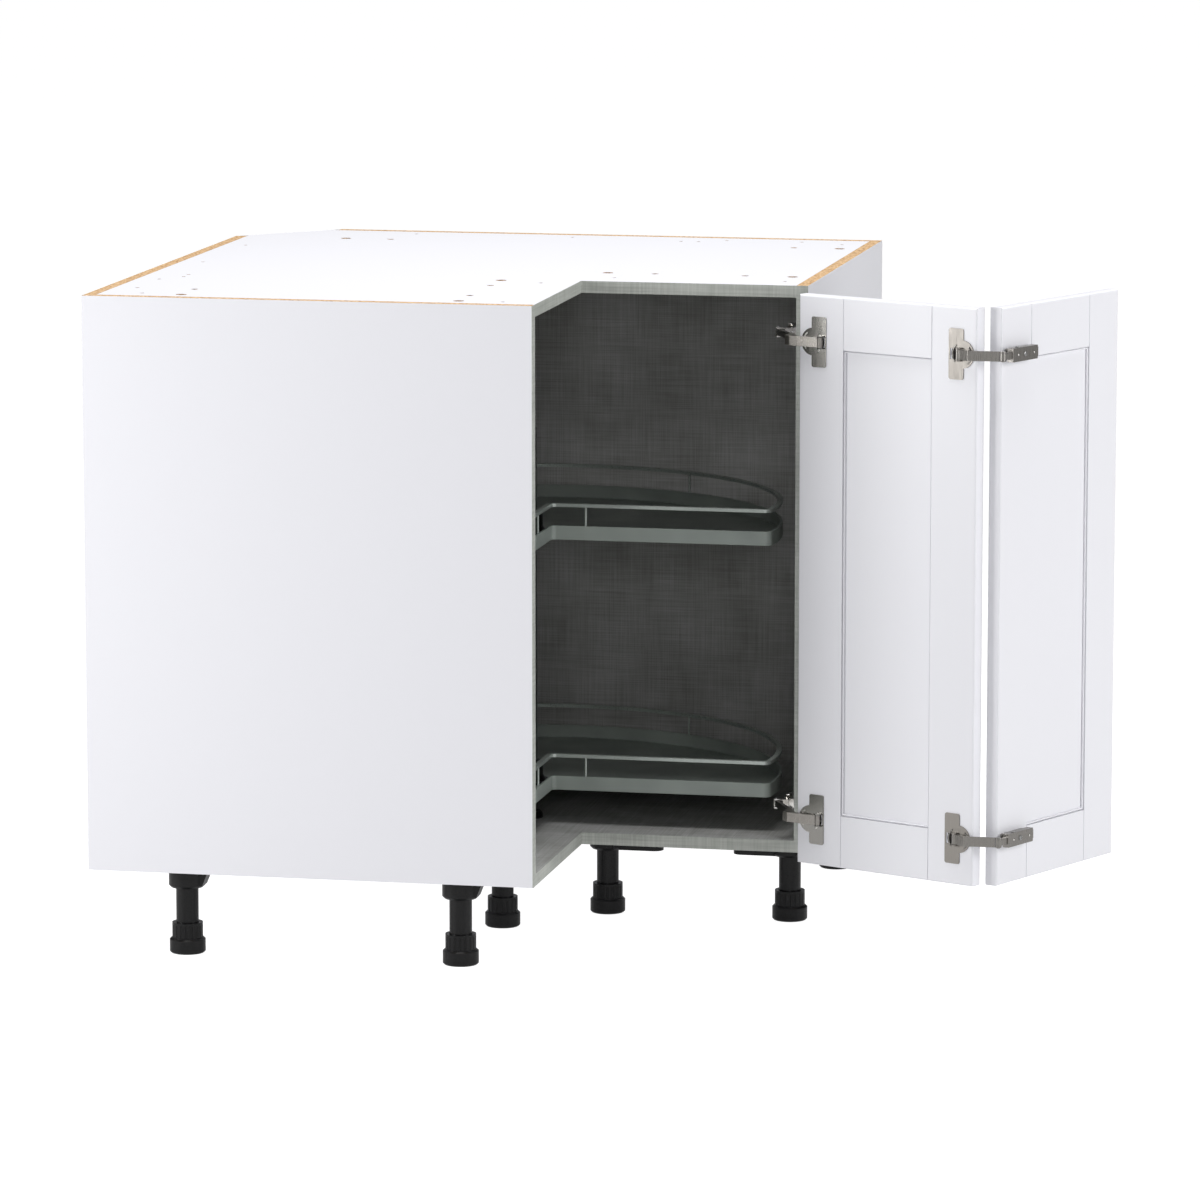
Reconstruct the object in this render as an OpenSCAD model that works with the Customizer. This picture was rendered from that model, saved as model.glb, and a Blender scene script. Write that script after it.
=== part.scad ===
// Corner base cabinet for a fitted kitchen: an L-shaped frameless carcass on
// adjustable legs, a two-leaf folding door hung on wide-angle concealed hinges,
// and a carousel of two pie-cut trays that turn about one vertical post.
//
// Plan frame used below: x runs along the front of the left wing from the
// left wall face, y runs back from the outer face of the left end panel, and
// z = 0 is the underside of the carcass. place() moves everything so that the
// origin is on the floor, under the middle of the whole object.

/* [Carcass] */
// Length of each wall side, measured from the room corner
cab_w = 914; // [860:1:1000]
// Height of the carcass, without the legs
cab_h = 768; // [700:1:860]
// Depth of each wing, from the wall face to the front edge
wing_d = 606; // [580:1:640]
// Thickness of the carcass boards
board_t = 16; // [15:0.5:19]
// Length cut off each wall side at the room corner
corner_cut = 124; // [80:1:160]
// Thickness of the hardboard across the cut corner
corner_board_t = 3; // [2:0.5:6]
// Thickness of the edge band on the front edges
band_t = 1; // [0.5:0.1:2]
// Height of the underside above the floor
leg_h = 114; // [100:1:150]

/* [Machining] */
// Distance of each outer leg from the end panel's outer face
leg_inset = 40; // [34:1:48]
// Distance of the front legs behind the front edge
leg_front = 107; // [90:1:140]
// Distance of the rear legs from the wall board
leg_back = 109; // [90:1:140]
// Distance of the two inner legs in front of the step line
leg_step = 14; // [12:1:30]
// Distance of the corner leg from the left wall board
corner_leg_in = 146; // [130:1:170]
// Diameter of the hole that takes the spigot of a leg socket
spigot_hole_d = 15; // [10:0.5:18]
// Diameter of the hole that takes the peg of a leg socket
peg_hole_d = 10; // [6:0.5:12]
// Distance from a leg to its peg
peg_pitch = 65; // [55:1:75]
// Diameter of the connector holes in the top and bottom boards
screw_hole_d = 6; // [4:0.5:8]
// Distance of the outer row of connector holes from the outer faces
hole_row = 46; // [42:1:56]
// Places of the outer row, as shares of a wall side
hole_shares = [0.118, 0.236, 0.481, 0.731]; // [0.05:0.001:0.8]
// Distance of the inner row of connector holes from the outer faces
inner_hole_row = 70; // [64:1:80]
// Places of the inner row, as shares of a wall side
inner_hole_shares = [0.276, 0.303]; // [0.2:0.001:0.4]
// Distance of the front connector holes behind the front edge
front_hole_back = 48; // [40:1:60]
// Distance of the inner front connector holes from the step line
front_hole_step = 35; // [30:1:50]
// Depth of the blind holes in the top and bottom boards
blind_depth = 12; // [8:0.5:13]
// Diameter of the dowels between the boards
dowel_d = 8; // [6:0.5:9]
// Length of a dowel
dowel_len = 30; // [24:1:36]
// Depth of a dowel in the face of the standing board
dowel_seat = 10; // [8:0.5:12]
// Diametral clearance of a dowel in its hole
dowel_fit = 0.2; // [0.1:0.1:0.4]
// Places of the dowels along a wing's end panel, as shares of its depth
end_dowel_shares = [0.15, 0.53, 0.9]; // [0.1:0.01:0.95]
// Places of the dowels along a wall board, as shares of the wall side
wall_dowel_shares = [0.1, 0.36, 0.61, 0.81]; // [0.05:0.01:0.82]

/* [Door] */
// Thickness of the door frame
leaf_t = 19; // [18:0.5:22]
// Gap between the carcass front and the closed door
leaf_gap = 2; // [1.5:0.1:4]
// Reveal above and below the closed door
reveal = 2.5; // [1:0.1:4]
// Reveal at the free edge and the hinge edge of the closed door
side_reveal = 2; // [1.5:0.1:3]
// Gap where the two closed leaves meet
corner_gap = 4; // [3:0.5:8]
// Radius of the rounded leaf edges
edge_r = 2.5; // [1:0.5:4]
// Width of the stiles and rails
stile_w = 70; // [55:1:80]
// Thickness of the flat centre panel
centre_t = 6.5; // [5:0.5:9]
// Depth of the centre panel below the inner face of the frame
centre_drop = 4; // [3:0.5:6]
// Depth of the groove in the frame that holds the centre panel
groove_d = 9; // [6:0.5:12]
// Width of the joint line between a stile and a rail
joint_w = 1.2; // [0.6:0.1:2]
// Depth of the joint line
joint_d = 0.8; // [0.4:0.1:1.5]
// Opening angle of the hung leaf in the open pose
open_angle = 155; // [150:1:160]
// How far the open leaf stands in front of the carcass at its hinge edge
open_forward = 76; // [72:1:80]
// How far the open leaf's hinge edge stands outside the end panel
open_aside = 2; // [0:0.5:6]

/* [Hinges] */
// Height of each hinge from the nearer end of the carcass
hinge_inset = 64; // [56:1:90]
// Diameter of the hinge cup
cup_d = 35; // [26:1:40]
// Depth of the hinge cup
cup_depth = 11.5; // [10:0.5:13]
// Distance from the leaf's edge to the cup centre
cup_edge = 22.5; // [20.5:0.5:26]
// Length of the cup's fixing flange
flange_len = 67; // [60:1:72]
// Width of the cup's fixing flange
flange_w = 23; // [18:1:28]
// Thickness of the cup's fixing flange
flange_t = 1.2; // [1:0.1:2]
// Distance from the cup centre to the middle of the flange
flange_off = 9.5; // [5:0.5:11]
// Diameter of the hinge pins
pin_d = 4; // [3:0.5:5]
// Radial clearance of a pin in a turning link
pin_clear = 0.05; // [0.03:0.01:0.1]
// Height of a hinge link
link_h = 13; // [11:0.5:15]
// Distance of the arm pin from the inner face of the end panel
arm_pin_in = 27; // [26.5:0.5:28]
// Distance of the arm pin behind the carcass front
arm_pin_back = 14.5; // [13:0.5:16]
// Pin spacing of the inner link
inner_link_len = 62; // [61:0.5:63]
// Pin spacing of the outer link
outer_link_len = 72; // [71:0.5:73]
// Distance from the leaf's edge to the cup pin
cup_pin_edge = 36; // [35:0.5:38]
// Height of the cup pins above the inner face of the leaf
cup_pin_rise = 4; // [4:0.1:4.5]
// Distance of the crank in the outer link from its cup pin
crank_from_cup = 36; // [33:1:39]
// Sideways step of the crank in the outer link
crank_step = 15.5; // [15:0.5:17]
// How far the outer link's web reaches past the leaf's edge
web_reach = 20; // [16:1:24]
// Height of the outer link's web above the leaf's inner face
web_rise = 8.5; // [8:0.5:10]
// Thickness of the outer link's web
web_t = 1.5; // [1:0.1:2]
// Length of a hinge arm on the end panel
arm_len = 54; // [48:1:60]
// Thickness of a hinge arm
arm_t = 8; // [7:0.5:10]
// Length of a mounting plate's wings
plate_len = 52; // [46:1:60]
// Width of a mounting plate's wings
plate_w = 18; // [14:1:22]
// Thickness of a mounting plate's wings
plate_t = 3; // [2:0.5:4]
// Height of a mounting plate's raised middle
plate_rise = 6; // [5:0.5:7]
// Length of the arm of a fold hinge
fold_arm_len = 59; // [52:1:70]
// Height of the arm of a fold hinge
fold_arm_h = 18; // [16:0.5:20]
// Thickness of the arm of a fold hinge
fold_arm_t = 9; // [8:0.5:10]
// Distance of that arm from the folding leaf's edge
fold_arm_in = 4; // [3:0.5:8]
// Height of the plate under the arm of a fold hinge
fold_plate_t = 6; // [5:0.5:7]
// Distance of the fold hinge's cup pin from the cup centre
fold_cup_pin_off = 4; // [3:0.5:6]
// Distance of the fold hinge's arm pin outside the folding leaf's edge
fold_pin_out = 12; // [11:0.5:13]
// Height of the fold hinge's arm pin above the folding leaf's inner face
fold_pin_rise = 10; // [9:0.5:11]
// Distance of the bend in the fold hinge's bar from the hung leaf's edge
bar_bend_in = 8; // [6:0.5:10]
// Height of the fold hinge's bar above the hung leaf's inner face
bar_rise = 9; // [8:0.5:10]

/* [Carousel] */
// Distance of the post behind the front edge of each wing
post_back = 98; // [94:1:110]
// Distance of a tray's straight edges behind the front edge of each wing
tray_setback = 52; // [46:1:56]
// Gap between a tray and each end panel
tray_side_gap = 40; // [30:1:60]
// Radius of a tray's outer corners
tray_corner_r = 10; // [9.5:0.5:20]
// Radius of a tray's bend at the notch
tray_bend_r = 6; // [2:1:12]
// Height of the lower tray's rim above the carcass underside
lower_rim_z = 83; // [80:1:120]
// Height from the lower rim to the upper rim
tray_pitch = 345; // [300:1:380]
// Height of a tray's rim
rim_h = 19; // [15:1:30]
// Thickness of the tray sheet
sheet_t = 1.2; // [0.8:0.1:2]
// Width of the folded lip on the rim
lip_w = 3; // [2.5:0.1:5]
// Height of the guard rail above the rim
rail_rise = 28; // [20:1:50]
// Width of the guard rail
rail_w = 7; // [5:0.5:9]
// Height of the guard rail's section
rail_t = 4.5; // [3:0.1:5]
// Diameter of the rail posts
rail_post_d = 3.2; // [2.5:0.1:5]
// Angles of the rail posts round the back of a tray
rail_post_angles = [61, 135, 209]; // [0:1:270]
// Distance of the rail post on the right straight edge from the bend
right_post_out = 46; // [30:1:150]
// Distance of the rail post on the left straight edge from the bend
left_post_out = 75; // [30:1:150]
// Diameter of the lower tube of the post
post_d = 30; // [26:0.5:34]
// Diameter of the upper tube of the post
inner_post_d = 24; // [18:0.5:25]
// Height of the top of the lower tube
post_step_z = 555; // [500:1:600]
// Running clearance between a tray hub and the post
hub_clear = 0.1; // [0.05:0.05:0.3]
// Diameter of the hole in a tray for its hub
hub_d = 46; // [44:1:50]
// Height of a tray hub
hub_h = 30; // [24:1:36]
// Width of the hub's flange on the tray sheet
hub_flange = 10; // [6:1:14]
// Thickness of the hub's flange
hub_flange_t = 3; // [2:0.5:5]
// Wall thickness of the clamp ring under a tray
clamp_t = 7; // [5:0.5:9]
// Height of the clamp ring under a tray
clamp_h = 14; // [10:1:18]
// Diameter of the post's bearings on the bottom and top boards
bearing_d = 45; // [40:1:50]
// Height of the floor bearing
bearing_h = 9; // [7:0.5:12]

/* [Legs] */
// Diameter of the leg tube
leg_tube_d = 30; // [26:0.5:34]
// Diameter of the leg socket
socket_d = 49; // [44:1:56]
// Height of the leg socket
socket_h = 25; // [20:1:32]
// Width of the socket's side arm
socket_arm_w = 26; // [20:1:32]
// Diameter of the fluted collar on a foot
collar_d = 41; // [37:0.5:44]
// Height of the fluted collar
collar_h = 21; // [15:1:26]
// Number of flutes round a collar
flute_count = 18; // [8:1:24]
// Diameter of the foot
foot_d = 48; // [44:1:56]
// Height of the foot below its collar
foot_h = 20; // [15:1:24]
// Diametral clearance of the tube in the foot
tube_clear = 0.6; // [0.4:0.1:1]
// Wall thickness of the leg tube
tube_wall = 2.5; // [2:0.5:4]
// How far the socket's wing stands out at its upper edge
wing_out = 7; // [4:0.5:10]
// Diameter of a flute in the collar
flute_d = 3; // [2:0.5:4]

/* [Hidden] */
$fn = 64;

// Small overshoot that makes cuts go right through
cut = 0.5;
// Step from the outer corner of the carcass to the front edge of a wing
notch_d = cab_w - wing_d;
side_in = cab_w - board_t;

// Door leaves, both the same size, closed against both notch faces
leaf_h = cab_h - 2 * reveal;
leaf_w = notch_d - side_reveal - leaf_gap - leaf_t - corner_gap;
leaf_turn = 180 + open_angle;
hinge_edge = [cab_w + open_aside, notch_d - open_forward];
fold_shift = [leaf_w + leaf_t + corner_gap, leaf_t + corner_gap];
tongue = groove_d - 1;
groove_fit = 0.2;
hinge_z = [hinge_inset, cab_h - hinge_inset];
opening_w = leaf_w - 2 * stile_w;
opening_h = leaf_h - 2 * stile_w;

// Turns a plan vector by an angle
function turn(v, a) = [v[0] * cos(a) - v[1] * sin(a), v[0] * sin(a) + v[1] * cos(a)];
// Point of the open hung leaf, from its own frame to the plan
function leaf_point(p) = hinge_edge + turn(p, leaf_turn);
// Third corner of a triangle on the side p-q, to the right of it
function elbow(p, q, from_p, from_q) =
    let (span = norm(q - p),
         along = (from_p * from_p - from_q * from_q + span * span) / (2 * span),
         aside = sqrt(from_p * from_p - along * along),
         e = (q - p) / span)
    p + e * along + [e[1], -e[0]] * aside;
function heading(p, q) = atan2(q[1] - p[1], q[0] - p[0]);
function unit(p, q) = (q - p) / norm(q - p);
function left_of(v) = [-v[1], v[0]];
// Offset of a path's corner i, mitred, for a strip of half width 1
function mitre(path, i) =
    let (last = len(path) - 1,
         a = left_of(unit(path[max(i - 1, 0)], path[max(i, 1)])),
         b = left_of(unit(path[min(i, last - 1)], path[min(i + 1, last)])))
    (a + b) / (1 + a * b);
// Outline of a flat strip along a path
function strip(path, t) = concat(
    [for (i = [0:len(path) - 1]) path[i] + mitre(path, i) * t / 2],
    [for (i = [len(path) - 1:-1:0]) path[i] - mitre(path, i) * t / 2]
);

// Pins of the wide-angle hinge in the open pose
arm_pin = [side_in - arm_pin_in, notch_d + arm_pin_back];
cup_pin = leaf_point([cup_pin_edge, -cup_pin_rise]);
link_pin = elbow(arm_pin, cup_pin, inner_link_len, outer_link_len);
crank_at = [outer_link_len - crank_from_cup, -crank_step];
// Web of the outer link, bent near the leaf's edge
web_path = [
    leaf_point([-web_reach, -web_rise / 2]), leaf_point([-web_reach / 2, -web_rise]),
    leaf_point([cup_pin_edge, -cup_pin_rise - web_t / 2])
];

// Pins of the fold hinge: the cup pin in the hung leaf's frame, the arm pin in both
fold_cup_pin = [leaf_w - cup_edge - fold_cup_pin_off, -cup_pin_rise];
fold_knuckle = [-fold_pin_out, -fold_pin_rise];
fold_arm_pin = fold_shift + turn(fold_knuckle, 90);
fold_bar_start = [leaf_w - bar_bend_in, -bar_rise];

// Carousel
post_in = wing_d - post_back;
post_at = [post_in, cab_w - post_in];
tray_r = side_in - tray_side_gap - post_in;
notch_off = post_back - tray_setback;
tray_z = [lower_rim_z - rim_h, lower_rim_z - rim_h + tray_pitch];
rail_r = tray_r - rail_w / 2;
bearing_spigot = 12;
spigot_gap = 0.5;
ceiling_cup_h = 8;
post_wall = 1.5;
tube_gap = 0.2;
tube_overlap = 60;

// Mirror image of a plan point in the cabinet's diagonal, and of a leg with its direction
function across(p) = [cab_w - p[1], cab_w - p[0]];
function across_leg(l) = concat(across(l), -90 - l[2]);
// Legs: plan position and the direction of the socket's side arm
left_wing_legs = [
    [board_t + leg_back, leg_inset, 90],
    [wing_d - leg_front, leg_inset, 90],
    [wing_d - leg_front, notch_d - leg_step, -90]
];
corner_leg = [board_t + corner_leg_in, side_in - leg_back, 0];
function legs() = concat(
    left_wing_legs, [for (i = [2:-1:0]) across_leg(left_wing_legs[i])], [corner_leg]
);
// How deep the tube sits in the foot, and the material above it in the socket
tube_in_foot = 8;
tube_end_z = foot_h - tube_in_foot;
socket_roof = 4;
socket_edge = 3;
foot_edge = 2;
// Gap above a socket's pegs, and height of the rim under the flutes
peg_gap = 2;
flute_rise = 1;

// Size of the whole object in the open pose, out to the rounded free edge
free_corner = leaf_point(fold_shift + turn([leaf_w - edge_r, edge_r], 90));
mid = [(free_corner[0] + edge_r) / 2, cab_w / 2];

// ---------------------------------------------------------------- placing

module place() {
    translate([-mid[0], -mid[1], leg_h]) children();
}

module on_hung_leaf() {
    place() translate(concat(hinge_edge, 0)) rotate(leaf_turn) children();
}

module on_fold_leaf() {
    on_hung_leaf() translate(concat(fold_shift, 0)) rotate(90) children();
}

module at_hinges() {
    for (z = hinge_z) translate([0, 0, z]) children();
}

module board(size, at) {
    translate(at) cube(size);
}

// ---------------------------------------------------------------- carcass

// Outline of the top and bottom boards, less `skip` along the front edges
module deck_outline(skip) {
    inner = board_t;
    front = wing_d - skip;
    step = notch_d + skip;
    diagonal = corner_cut + corner_board_t * sqrt(2) - 2 * board_t;
    polygon([
        [inner, inner], [front, inner], [front, step], [side_in, step],
        [side_in, side_in], [board_t + diagonal, side_in], [inner, side_in - diagonal]
    ]);
}

// Places of the dowels: plan point of the joint face and the way into the deck
left_dowels = concat(
    [for (s = end_dowel_shares) [s * wing_d, board_t, 90]],
    [for (s = wall_dowel_shares) [board_t, s * cab_w, 0]]
);
function dowels() = concat(left_dowels, [for (d = left_dowels) across_leg(d)]);

module dowel_rods(d, len_in_deck, len_in_side) {
    for (z = [board_t / 2, cab_h - board_t / 2])
        for (p = dowels())
            translate([p[0], p[1], z]) rotate(p[2]) rotate([0, 90, 0])
                translate([0, 0, -len_in_side])
                    cylinder(d = d, h = len_in_deck + len_in_side, $fn = 32);
}

module dowel_bores() {
    dowel_rods(dowel_d + dowel_fit, dowel_len - dowel_seat + 2 * cut, dowel_seat + cut);
}

// Leg holes and screw holes, drilled alike in both decks
module deck_holes(z) {
    translate([0, 0, z]) {
        for (l = legs()) translate([l[0], l[1], 0]) rotate(l[2]) {
            cylinder(d = spigot_hole_d, h = blind_depth + cut);
            translate([peg_pitch, 0, 0]) cylinder(d = peg_hole_d, h = blind_depth + cut);
        }
        for (p = screw_places()) translate(concat(p, 0))
            cylinder(d = screw_hole_d, h = blind_depth + cut, $fn = 24);
    }
}

left_holes = concat(
    [for (s = hole_shares) [hole_row, s * cab_w]],
    [for (s = inner_hole_shares) [inner_hole_row, s * cab_w]],
    [[inner_hole_row, hole_row]],
    [for (y = [leg_inset, notch_d - front_hole_step]) [wing_d - front_hole_back, y]]
);
function screw_places() = concat(left_holes, [for (p = left_holes) across(p)]);

module left_end_panel() color("white") place() difference() {
    board([wing_d - band_t, board_t, cab_h], [0, 0, 0]);
    dowel_bores();
}

module right_end_panel() color("white") place() difference() {
    board([board_t, wing_d - band_t, cab_h], [side_in, notch_d + band_t, 0]);
    dowel_bores();
}

module left_wall_panel() color("white") place() difference() {
    board([board_t, cab_w - corner_cut - board_t, cab_h], [0, board_t, 0]);
    dowel_bores();
}

module rear_wall_panel() color("white") place() difference() {
    board([side_in - corner_cut, board_t, cab_h], [corner_cut, side_in, 0]);
    dowel_bores();
}

module corner_back_panel() color("gainsboro") place() linear_extrude(cab_h)
    polygon([
        [0, cab_w - corner_cut], [corner_cut, cab_w],
        [corner_cut, cab_w - corner_board_t * sqrt(2)],
        [corner_board_t * sqrt(2), cab_w - corner_cut]
    ]);

module top_panel() color("white") place() difference() {
    translate([0, 0, cab_h - board_t]) linear_extrude(board_t) deck_outline(band_t);
    deck_holes(cab_h - blind_depth);
    dowel_bores();
}

module bottom_panel() color("gray") place() difference() {
    linear_extrude(board_t) deck_outline(band_t);
    deck_holes(-cut);
    dowel_bores();
}

module front_edge_bands() color("darkgray") place() {
    for (z = [0, cab_h - board_t]) translate([0, 0, z]) linear_extrude(board_t)
        polygon([
            [wing_d - band_t, 0], [wing_d, 0], [wing_d, notch_d], [cab_w, notch_d],
            [cab_w, notch_d + band_t], [wing_d - band_t, notch_d + band_t]
        ]);
    board([band_t, board_t, cab_h], [wing_d - band_t, 0, 0]);
    board([board_t, band_t, cab_h], [side_in, notch_d, 0]);
}

module board_dowels() color("burlywood") place()
    dowel_rods(dowel_d, dowel_len - dowel_seat, dowel_seat);

// --------------------------------------------------------------- carousel

module at_post() {
    place() translate(concat(post_at, 0)) children();
}

module post_lower_tube() color("silver") at_post() difference() {
    translate([0, 0, board_t + bearing_h])
        cylinder(d = post_d, h = post_step_z - board_t - bearing_h);
    translate([0, 0, board_t]) cylinder(d = inner_post_d + 2 * tube_gap, h = post_step_z);
}

module post_upper_tube() color("silver") at_post() difference() {
    bottom = tray_z[1] - tube_overlap;
    translate([0, 0, bottom])
        cylinder(d = inner_post_d, h = cab_h - board_t - ceiling_cup_h - bottom);
    translate([0, 0, bottom - cut]) cylinder(d = inner_post_d - 2 * post_wall, h = cab_h);
}

module floor_bearing() color("dimgray") at_post() translate([0, 0, board_t]) {
    rotate_extrude() polygon([
        [0, 0], [bearing_d / 2, 0], [bearing_d / 2, bearing_h / 2],
        [(bearing_d + post_d) / 4, bearing_h], [0, bearing_h]
    ]);
    translate([0, 0, bearing_h]) cylinder(d = inner_post_d - 2 * spigot_gap, h = bearing_spigot);
}

module ceiling_bearing() color("dimgray") at_post() translate([0, 0, cab_h - board_t]) {
    translate([0, 0, -ceiling_cup_h])
        cylinder(d1 = bearing_d - ceiling_cup_h, d2 = bearing_d, h = ceiling_cup_h);
    translate([0, 0, -ceiling_cup_h - bearing_spigot])
        cylinder(d = inner_post_d - 2 * (post_wall + tube_gap), h = bearing_spigot);
}

// Clamp rings that carry the trays on the post
module tray_collars() color("dimgray") at_post() for (z = tray_z)
    translate([0, 0, z - clamp_h]) difference() {
        cylinder(d = post_d + 2 * clamp_t, h = clamp_h);
        translate([0, 0, -cut]) cylinder(d = post_d + hub_clear, h = clamp_h + 2 * cut);
    }

// Quarter taken out of a tray, with its inner corner bent round
module tray_notch(edge, r) {
    reach = tray_r + cut - edge;
    translate([edge + r, -tray_r - cut]) square([reach, reach]);
    translate([edge, -tray_r - cut]) square([reach, reach - r]);
    translate([edge + r, -edge - r]) circle(r);
}

// Pie-cut outline: a disc less a quarter, all corners rounded
module tray_outline(shrink) {
    edge = notch_off - shrink;
    r = tray_r - shrink;
    corner_r = tray_corner_r - shrink;
    centre = [edge - corner_r, -sqrt(pow(r - corner_r, 2) - pow(edge - corner_r, 2))];
    difference() {
        circle(r, $fn = 180);
        tray_notch(edge, tray_bend_r + shrink);
        for (side = [0, 1]) mirror([side, side, 0]) difference() {
            polygon([
                centre,
                [edge + cut, centre[1]],
                [edge + cut, -r],
                centre * (r + cut) / norm(centre)
            ]);
            translate(centre) circle(corner_r, $fn = 32);
        }
    }
}

module tray(z) at_post() translate([0, 0, z]) difference() {
    linear_extrude(rim_h) tray_outline(0);
    translate([0, 0, sheet_t]) linear_extrude(rim_h - 2 * sheet_t) tray_outline(sheet_t);
    translate([0, 0, sheet_t]) linear_extrude(rim_h) tray_outline(lip_w);
    translate([0, 0, -cut]) cylinder(d = hub_d, h = rim_h);
}

// Guard rail: a flat bar that follows the tray's edge, on upright posts
module tray_rail(z) at_post() translate([0, 0, z + rim_h]) {
    inset = notch_off - rail_w / 2;
    translate([0, 0, rail_rise - rail_t / 2]) linear_extrude(rail_t) difference() {
        tray_outline(0);
        tray_outline(rail_w);
    }
    rise = rail_rise - rail_t / 2 + cut;
    for (a = rail_post_angles) rotate(a) translate([rail_r, 0, 0]) rail_post(rise);
    translate([notch_off + right_post_out, -inset, 0]) rail_post(rise);
    translate([inset, -notch_off - left_post_out, 0]) rail_post(rise);
}

module rail_post(rise) {
    cylinder(d = rail_post_d, h = rise, $fn = 24);
}

module tray_hub(z) at_post() translate([0, 0, z]) difference() {
    union() {
        cylinder(d = hub_d - 2 * tube_gap, h = hub_h);
        translate([0, 0, sheet_t]) cylinder(d = hub_d + 2 * hub_flange, h = hub_flange_t);
        translate([0, 0, sheet_t])
            cylinder(d1 = hub_d + hub_flange, d2 = hub_d - hub_flange / 2, h = hub_h / 2);
    }
    translate([0, 0, -cut]) cylinder(d = post_d + 2 * hub_clear, h = hub_h + 2 * cut);
}

module lower_tray() color("#5c6661") tray(tray_z[0]);
module upper_tray() color("#5c6661") tray(tray_z[1]);
module lower_tray_rail() color("#68716d") tray_rail(tray_z[0]);
module upper_tray_rail() color("#68716d") tray_rail(tray_z[1]);
module lower_tray_hub() color("#3c4240") tray_hub(tray_z[0]);
module upper_tray_hub() color("#3c4240") tray_hub(tray_z[1]);

// ------------------------------------------------------------------ doors

module rounded_square(w, h, r) {
    translate([r, 0]) square([w - 2 * r, h]);
    translate([0, r]) square([w, h - 2 * r]);
    for (x = [r, w - r], y = [r, h - r]) translate([x, y]) circle(r, $fn = 24);
}

// Whole leaf as one block with its edges rounded
module leaf_blank() {
    translate([0, 0, reveal]) intersection() {
        linear_extrude(leaf_h) rounded_square(leaf_w, leaf_t, edge_r);
        translate([-cut, 0, 0]) rotate([90, 0, 90]) linear_extrude(leaf_w + 2 * cut)
            rounded_square(leaf_t, leaf_h, edge_r);
    }
}

// Profile of a frame piece across its width, groove on the far side
module frame_profile(w) {
    difference() {
        square([w, leaf_t]);
        translate([w - groove_d, centre_drop]) square([groove_d + cut, centre_t + groove_fit]);
    }
}

module stile(at_far_edge) intersection() {
    leaf_blank();
    translate([at_far_edge ? leaf_w : 0, 0, reveal]) mirror([at_far_edge ? 1 : 0, 0, 0])
        linear_extrude(leaf_h) frame_profile(stile_w);
}

// Frame piece between the stiles, with a joint line at each end of both faces
module rail_piece(z, up) {
    intersection() {
        leaf_blank();
        translate([stile_w, 0, z]) mirror([0, 0, up ? 0 : 1]) difference() {
            rotate([90, 0, 90]) linear_extrude(opening_w) difference() {
                square([leaf_t, stile_w]);
                translate([centre_drop, stile_w - groove_d])
                    square([centre_t + groove_fit, groove_d + cut]);
            }
            for (x = [-cut, opening_w - joint_w], y = [-cut, leaf_t - joint_d])
                translate([x, y, -cut]) cube([joint_w + cut, joint_d + cut, stile_w + 2 * cut]);
        }
    }
    for (x = [stile_w - tongue, leaf_w - stile_w - 2 * joint_w])
        translate([x, centre_drop + groove_fit / 2, up ? z : z - stile_w + groove_d])
            cube([tongue + 2 * joint_w, centre_t, stile_w - groove_d]);
}

module bottom_rail_piece() rail_piece(reveal, true);
module top_rail_piece() rail_piece(reveal + leaf_h, false);

module centre_panel() {
    translate([stile_w - tongue, centre_drop + groove_fit / 2, reveal + stile_w - tongue])
        cube([opening_w + 2 * tongue, centre_t, opening_h + 2 * tongue]);
}

module cup_bore(x) {
    translate([x, -cut, 0]) rotate([-90, 0, 0])
        cylinder(d = cup_d + cup_fit, h = cup_depth + 2 * cut);
}

module hung_leaf_hinge_stile() color("white") on_hung_leaf() difference() {
    stile(false);
    at_hinges() cup_bore(cup_edge);
}

module hung_leaf_fold_stile() color("white") on_hung_leaf() difference() {
    stile(true);
    at_hinges() cup_bore(leaf_w - cup_edge);
}

module hung_leaf_top_rail() color("white") on_hung_leaf() top_rail_piece();
module hung_leaf_bottom_rail() color("white") on_hung_leaf() bottom_rail_piece();
module hung_leaf_panel() color("white") on_hung_leaf() centre_panel();
module fold_leaf_inner_stile() color("white") on_fold_leaf() stile(false);
module fold_leaf_free_stile() color("white") on_fold_leaf() stile(true);
module fold_leaf_top_rail() color("white") on_fold_leaf() top_rail_piece();
module fold_leaf_bottom_rail() color("white") on_fold_leaf() bottom_rail_piece();
module fold_leaf_panel() color("white") on_fold_leaf() centre_panel();

// ----------------------------------------------------------------- hinges

cheek_t = 2;
eye_wall = 2;
eye_d = pin_d + 2 * eye_wall;
bar_t = 3;
cheek_gap = 0.2;
cup_fit = 0.2;
cup_wall = 2;
cup_lip = 1;
pin_proud = 0.5;
inner_link_t = 5;
flange_corner_r = 3;
plate_corner_r = 4;
core_h = link_h - 2 * (cheek_t + cheek_gap);
lug_gap = 0.3;
lug_z = link_h / 2 + lug_gap;
lug_pin_h = 2 * (lug_z + cheek_t);

module rounded_plate(len, w, t, r) {
    linear_extrude(t) {
        square([len - 2 * r, w], center = true);
        square([len, w - 2 * r], center = true);
        for (sx = [-1, 1], sy = [-1, 1])
            translate([sx * (len / 2 - r), sy * (w / 2 - r)]) circle(r, $fn = 24);
    }
}

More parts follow.
